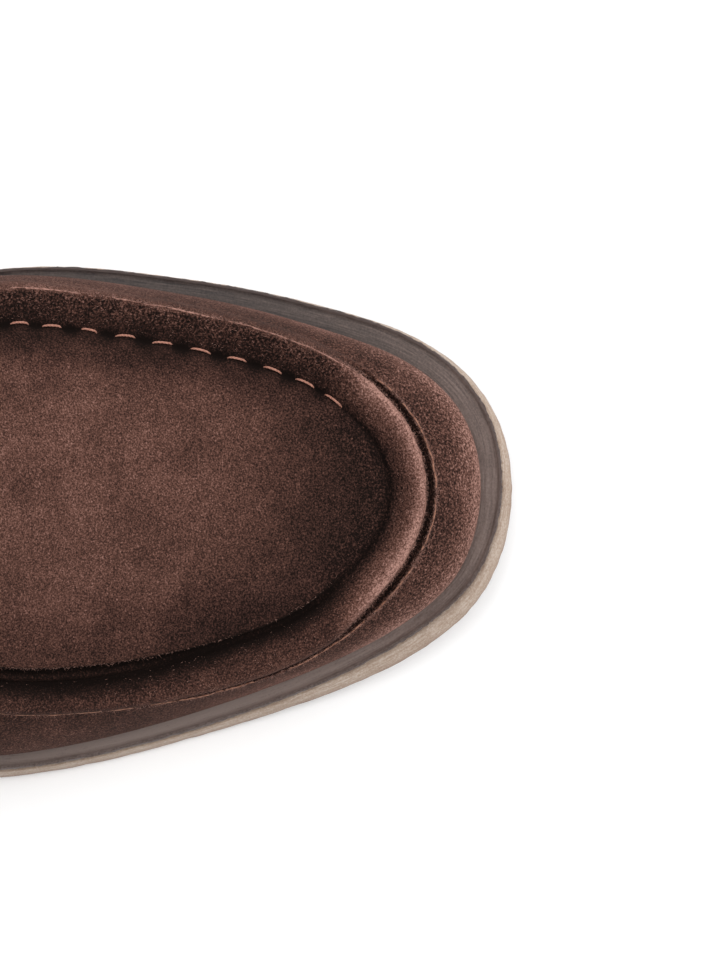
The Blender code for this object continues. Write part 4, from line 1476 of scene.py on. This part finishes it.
@dataclass
class Sole:
    """Outsole, heel, midsole and insole."""

    last: Last
    columns: int = 1400
    setback: float = 0.0003
    rim_round: float = 0.0006
    wall_thickness: float = 0.0022
    side_gap: float = 0.0005
    heel_setback: float = 0.0012
    heel_taper: float = 0.0015
    breast_hollow: float = 0.004
    nick_depth: float = 0.00010
    rim_rough: float = 0.00017
    # Inset as a share of the flare, height as a share of the thickness, share of the reddish
    # colour, tone. The tone is lower towards the bottom edge and highest over the upper half, where
    # it is a painted highlight.
    outsole_edge: Rows = (
        (1.60, 0.00, 0.3, 0.30), (0.95, 0.00, 0.5, 0.30), (0.40, 0.00, 0.7, 0.30),
        (0.16, 0.04, 0.8, 0.30), (0.03, 0.12, 0.7, 0.32), (0.00, 0.22, 0.45, 0.36),
        (0.02, 0.34, 0.20, 0.44), (0.09, 0.48, 0.0, 0.54), (0.22, 0.62, 0.0, 0.62),
        (0.36, 0.72, 0.0, 0.68), (0.52, 0.81, 0.0, 0.70), (0.70, 0.90, 0.0, 0.66),
        (0.88, 0.97, 0.0, 0.60), (1.02, 1.00, 0.0, 0.55), (1.60, 1.00, 0.0, 0.50),
    )  # fmt: skip
    # Inset as a share of the rim's rounding, height share, ridge darkness, tone offset.
    # The tone offset darkens the band next to the upper as painted shade.
    midsole_edge: Rows = (
        (1.5, 0.00, 0.0, 0.0), (0.3, 0.00, 0.3, 0.0), (0.0, 0.10, 0.8, 0.0), (-0.15, 0.45, 1.0, 0.0),
        (-0.05, 0.80, 1.0, 0.0), (0.25, 0.98, 1.0, 0.0), (0.7, 1.05, 0.85, 0.0), (1.1, 1.03, 0.35, 0.0),
        (1.6, 0.97, 0.05, 0.0), (2.6, 0.96, 0.0, 0.03), (4.5, 0.96, 0.0, 0.06), (6.5, 0.96, 0.0, 0.04),
        (9.0, 0.97, 0.0, -0.05), (12.0, 0.97, 0.0, -0.1),
    )  # fmt: skip
    # Station, then the band's tone on the lateral and the medial side, darker on the medial side
    # as painted shade under the wall's overhang.
    painted_band_shade: Rows = (
        (0.10, 0.55, 0.35), (0.50, 0.80, 0.28), (0.70, 0.98, 0.20), (0.80, 0.96, 0.18),
        (0.88, 0.86, 0.30), (0.96, 0.68, 0.50),
    )  # fmt: skip
    painted_band_shade_ends: tuple[float, float] = (0.45, 0.62)
    # Columns to a cell of the pattern and cells to a ring, for the edge's nicks and the rim.
    nick_run: tuple[float, float] = (5.0, 0.9)
    rough_run: tuple[float, float] = (1.6, 1.7)
    # Inset in metres and height share of the footbed's edge.
    insole_edge: Rows = ((0.0, 0.0), (0.0, 0.7), (0.0003, 0.93), (0.0010, 1.0), (0.004, 0.98))
    # Cut in millimetres, height share, share of the reddish colour, tone.
    heel_edge: Rows = (
        (0.6, 0.00, 0.6, 0.3), (0.15, 0.02, 0.8, 0.3), (0.0, 0.06, 0.4, 0.4), (0.0, 0.16, 0.1, 0.46),
        (0.0, 0.26, 0.2, 0.44), (0.22, 0.285, 0.8, 0.2), (0.22, 0.30, 0.8, 0.2), (0.0, 0.32, 0.2, 0.46),
        (0.0, 0.50, 0.0, 0.52), (0.0, 0.75, 0.0, 0.56), (0.0, 0.94, 0.0, 0.54), (0.3, 1.0, 0.3, 0.4),
    )  # fmt: skip
    heel_columns: int = 161
    breast_columns: int = 61

    def turns(self) -> np.ndarray:
        """Loop angles of the columns."""
        return np.linspace(0, FULL_TURN, self.columns, endpoint=False)

    def ring(
        self, turn: np.ndarray, inset: np.ndarray, height: Callable[[np.ndarray], np.ndarray]
    ) -> np.ndarray:
        """One ring of a plate at an inset from the sole's outline."""
        x, y = self.last.sole_ring(turn, inset)
        return np.stack([x, y, height(y)], axis=1)

    def run_marks(self, rings: np.ndarray) -> dict[str, np.ndarray]:
        """Marks that let a pattern flow round the shoe.

        Args:
            rings: Points of shape (rings, columns, 3).

        Returns:
            The run round the shoe wound on a circle of that length, and the run across.
        """
        outer = rings[len(rings) // 2]
        steps = np.linalg.norm(np.roll(outer, -1, axis=0) - outer, axis=1)
        total = steps.sum()
        angle = FULL_TURN * np.concatenate([[0.0], np.cumsum(steps)[:-1]]) / total
        radius = total / FULL_TURN
        down = np.linalg.norm(np.diff(rings, axis=0), axis=2).mean(axis=1)
        across = np.concatenate([[0.0], np.cumsum(down)])
        one = np.ones(rings.shape[:2])
        return {
            "run_x": radius * np.cos(angle) * one,
            "run_y": radius * np.sin(angle) * one,
            "across": across[:, None] * one,
        }

    def plate(
        self, name: str, part: Part, finish: bpy.types.Material, rings: list[np.ndarray], **marks: np.ndarray
    ) -> None:
        """A plate from its rings, capped above and below.

        Args:
            name: The piece's name.
            part: The node it replaces.
            finish: Its material.
            rings: Rings of points from the bottom up.
            marks: Values of shape (rings, 1) or (rings, columns), per attribute.
        """
        skin = Skin()
        grid = np.stack(rings)
        index = skin.add(grid, **marks, **self.run_marks(grid))
        skin.sheet(index, wrap=True)
        half = self.columns // 2
        for ring, flip in ((index[0], True), (index[-1], False)):
            mirrored = np.concatenate([ring[:1], ring[:0:-1]])[: half + 1]
            skin.sheet(np.stack([ring[: half + 1], mirrored]), flip=not flip)
        item = skin.finish(name, part, [finish])
        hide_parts(part.value)

    def outsole(self, finish: bpy.types.Material) -> None:
        """Tan sole with its sanded, leaning edge."""
        turn, last = self.turns(), self.last
        flare = last.edge_flare(turn)
        table = np.array(self.outsole_edge)
        run = np.arange(self.columns)
        rings = []
        for row, (inset, height, _, _) in enumerate(table):
            cells = run / self.nick_run[0], np.full(self.columns, row * self.nick_run[1])
            nick = lattice_noise(*cells, seed=31)
            nick *= self.nick_depth * (0.1 < height < 0.99)
            rise = last.outsole_thickness * height
            rings.append(self.ring(turn, flare * inset + nick, lambda y, rise=rise: last.tread(y) + rise))
        marks = {"ridge": table[:, 2:3] * 0.8, "tone": table[:, 3:4]}
        self.plate("crepe_outsole", Part.OUTSOLE, finish, rings, **marks)

    def midsole(self, finish: bpy.types.Material) -> None:
        """Dark plate whose trimmed rim shows round the shoe."""
        turn, last = self.turns(), self.last
        flare = last.edge_flare(turn) + self.setback
        table = np.array(self.midsole_edge)
        run = np.arange(self.columns)
        rings = []
        for row, (inset, height, ridge, _) in enumerate(table):
            cells = run / self.rough_run[0], np.full(self.columns, row * self.rough_run[1])
            rough = lattice_noise(*cells, seed=33) * ridge * self.rim_rough
            rise, offset = last.midsole_thickness * height, flare + self.rim_round * inset + rough
            ring = self.ring(turn, offset, lambda y, rise=rise: last.midsole_bottom(y) + rise)
            ring[:, 2] += np.abs(rough)
            rings.append(ring)
        tone = around(self.painted_band_shade, *self.painted_band_shade_ends, turn)[None] + table[:, 3:4]
        self.plate("welt_midsole", Part.MIDSOLE, finish, rings, ridge=table[:, 2:3], tone=tone)

    def insole(self, finish: bpy.types.Material) -> None:
        """Leather footbed."""
        turn, last = self.turns(), self.last
        inset = last.welt_margin(turn) + self.wall_thickness + self.side_gap
        rings = [
            self.ring(turn, inset + step, lambda y, h=height: last.seat(y) + last.insole_thickness * h)
            for step, height in self.insole_edge
        ]
        self.plate("leather_insole", Part.INSOLE, finish, rings)

    def heel(self, finish: bpy.types.Material) -> None:
        """Heel block: a lift over a top lift, with the joint between them."""
        reach = turn_at(self.last.breast_station)
        profile = np.array(self.heel_edge)
        rings = []
        for cut, share, _, _ in profile:
            inset = self.heel_setback + self.heel_taper * (1 - share) + cut * MM
            x, y = self.last.sole_ring(np.linspace(-reach, reach, self.heel_columns), inset)
            side = np.linspace(1, -1, self.breast_columns)[1:-1]
            breast_x = (x[0] + x[-1]) / 2 + (x[-1] - x[0]) / 2 * side
            breast_y = (y[0] + y[-1]) / 2 + (y[-1] - y[0]) / 2 * side + self.breast_hollow * (1 - side**2)
            x, y = np.concatenate([x, breast_x]), np.concatenate([y, breast_y])
            z = np.full_like(x, share * (self.last.heel_height - self.last.seat_gap))
            rings.append(np.stack([x, y, z], axis=1))
        grid = np.stack(rings)
        marks = self.run_marks(grid)
        skin = Skin()
        index = skin.add(grid, ridge=profile[:, 2:3], tone=profile[:, 3:4], **marks)
        skin.sheet(index, wrap=True)
        for ring, row, flip in ((index[0], 0, True), (index[-1], -1, False)):
            middle = skin.add(grid[row].mean(axis=0)[None], tone=0.4)[0]
            fan = np.stack([ring, np.full(len(ring), middle)])
            skin.sheet(fan, wrap=True, flip=flip)
        item = skin.finish("heel_block", Part.HEEL, [finish])
        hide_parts(Part.HEEL.value)


@dataclass
class Studio:
    """Floor, soft lights and the camera at the photograph's angle."""

    pixels_per_metre: float = 4800.0
    lens_mm: float = 900.0
    sensor_mm: float = 36.0
    aim: tuple[float, float, float] = (0.00904, -0.1192, 0.0)
    lateral_tilt: float = math.radians(5.0)
    heel_tilt: float = math.radians(3.5)
    room_light: float = 0.82
    floor_reach: float = 6.0
    light_goal: tuple[float, float, float] = (0.0, -0.08, 0.03)
    lights: Sequence[tuple[str, tuple[float, float, float], float, float]] = (
        ("overhead", (0.10, -0.05, 1.10), 0.9, 4.1),
        ("toe", (0.25, -1.00, 0.75), 0.5, 4.8),
        ("medial", (0.95, -0.10, 0.75), 0.5, 2.0),
    )

    def floor(self) -> None:
        """A plain pale floor."""
        g = Graph("matt white paper")
        place = g.place()
        pulp = g.node("TexNoise", Vector=place, Scale=frequency(2.0), Detail=2.0)
        bump = g.node("Bump", Strength=0.05, Distance=0.0001, Height=pulp)
        shader = g.node("BsdfPrincipled", Base_Color=linear("#fcfcfc"), Roughness=0.95, IOR=1.45, Normal=bump)
        size = self.floor_reach
        mesh = bpy.data.meshes.new("floor")
        corners = [(-size, -size, 0), (size, -size, 0), (size, size, 0), (-size, size, 0)]
        mesh.from_pydata(corners, [], [(0, 1, 2, 3)])
        mesh.materials.append(g.finish(shader))
        item = bpy.data.objects.new("floor", mesh)
        bpy.context.scene.collection.objects.link(item)

    def world(self) -> None:
        """Even white surroundings."""
        world = bpy.data.worlds.new("white room")
        world.use_nodes = True
        surface = world.node_tree.nodes["Background"]
        surface.inputs["Color"].default_value = linear("#ffffff")
        surface.inputs["Strength"].default_value = self.room_light
        bpy.context.scene.world = world
        bpy.context.scene.view_settings.view_transform = "Standard"

    def lamps(self) -> None:
        """Soft area lights aimed at the toe."""
        goal = Vector(self.light_goal)
        for name, place, size, power in self.lights:
            data = bpy.data.lights.new(name, "AREA")
            data.shape, data.size, data.energy = "DISK", size, power
            lamp = bpy.data.objects.new(name, data)
            lamp.location = place
            lamp.rotation_mode = "QUATERNION"
            lamp.rotation_quaternion = (goal - Vector(place)).to_track_quat("-Z", "Y")
            bpy.context.scene.collection.objects.link(lamp)

    def camera(self) -> None:
        """Nearly straight above, the toe to the right of the picture, medial side up."""
        data = bpy.data.cameras.new("photo camera")
        data.lens, data.sensor_width = self.lens_mm, self.sensor_mm
        width = max(IMAGE_SIZE) / self.pixels_per_metre
        distance = width * self.lens_mm / self.sensor_mm
        data.clip_start, data.clip_end = distance * 0.1, distance * 4
        back = Vector((-math.sin(self.lateral_tilt), math.sin(self.heel_tilt), 0.0))
        back.z = math.sqrt(1 - back.length_squared)
        right = Vector((0.0, -1.0, 0.0))
        right = (right - back * right.dot(back)).normalized()
        up = back.cross(right)
        item = bpy.data.objects.new("photo camera", data)
        item.location = Vector(self.aim) + back * distance
        item.rotation_mode = "QUATERNION"
        item.rotation_quaternion = Matrix((right, up, back)).transposed().to_quaternion()
        bpy.context.scene.collection.objects.link(item)
        bpy.context.scene.camera = item


def main() -> None:
    """Builds the dressed shoe in its studio."""
    logging.basicConfig(level=logging.INFO, format="%(name)s: %(message)s")
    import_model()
    last = Last()
    upper = Upper(last)
    upper.build([Suede().build(), Leather("glazed calf lining", "#51392a", "#71533f", roughness=0.5).build()])
    seam = SeamWork(upper)
    thread = Thread("waxed salmon thread", "#8b5543", "#c38c78").build()
    # The second thread is the first darkened as painted shade, for the stitches sunk in the groove.
    seam.stitches([thread, Thread("waxed thread, rubbed dark", "#2d1d18", "#51352c").build()])
    seam.topline(Thread("waxed brown thread", "#51342a", "#7d5749").build())
    pale = Fibre("cut suede edge", "#714c41", "#a77d6f").build()
    tan = Fibre("cut suede edge, undyed core", "#7d513e", "#ae806a").build()
    seam.raw_edge("roll_edge", (7.7, 6.9, 1.9, 1.9), (0.8, 0.6, 0.0, 0.0), pale)
    seam.raw_edge("wall_edge", (7.7, 1.7, 1.9, 1.9), (0.0, 0.8, 0.9, 0.7), tan)
    hairs = Fibre("pale suede fibres", "#734f44", "#b0877a"), Fibre("dark suede fibres", "#19100e", "#34221f")
    seam.fibres([hair.build() for hair in hairs])
    sole = Sole(last)
    sole.outsole(CrepeRubber().build())
    sole.heel(CrepeRubber(name="sanded heel rubber").build())
    sole.midsole(WeltLeather().build())
    sole.insole(Leather("waxed footbed leather", "#533626", "#795742", roughness=0.5).build())
    studio = Studio()
    studio.floor()
    studio.world()
    studio.lamps()
    studio.camera()


if __name__ == "__main__":
    main()
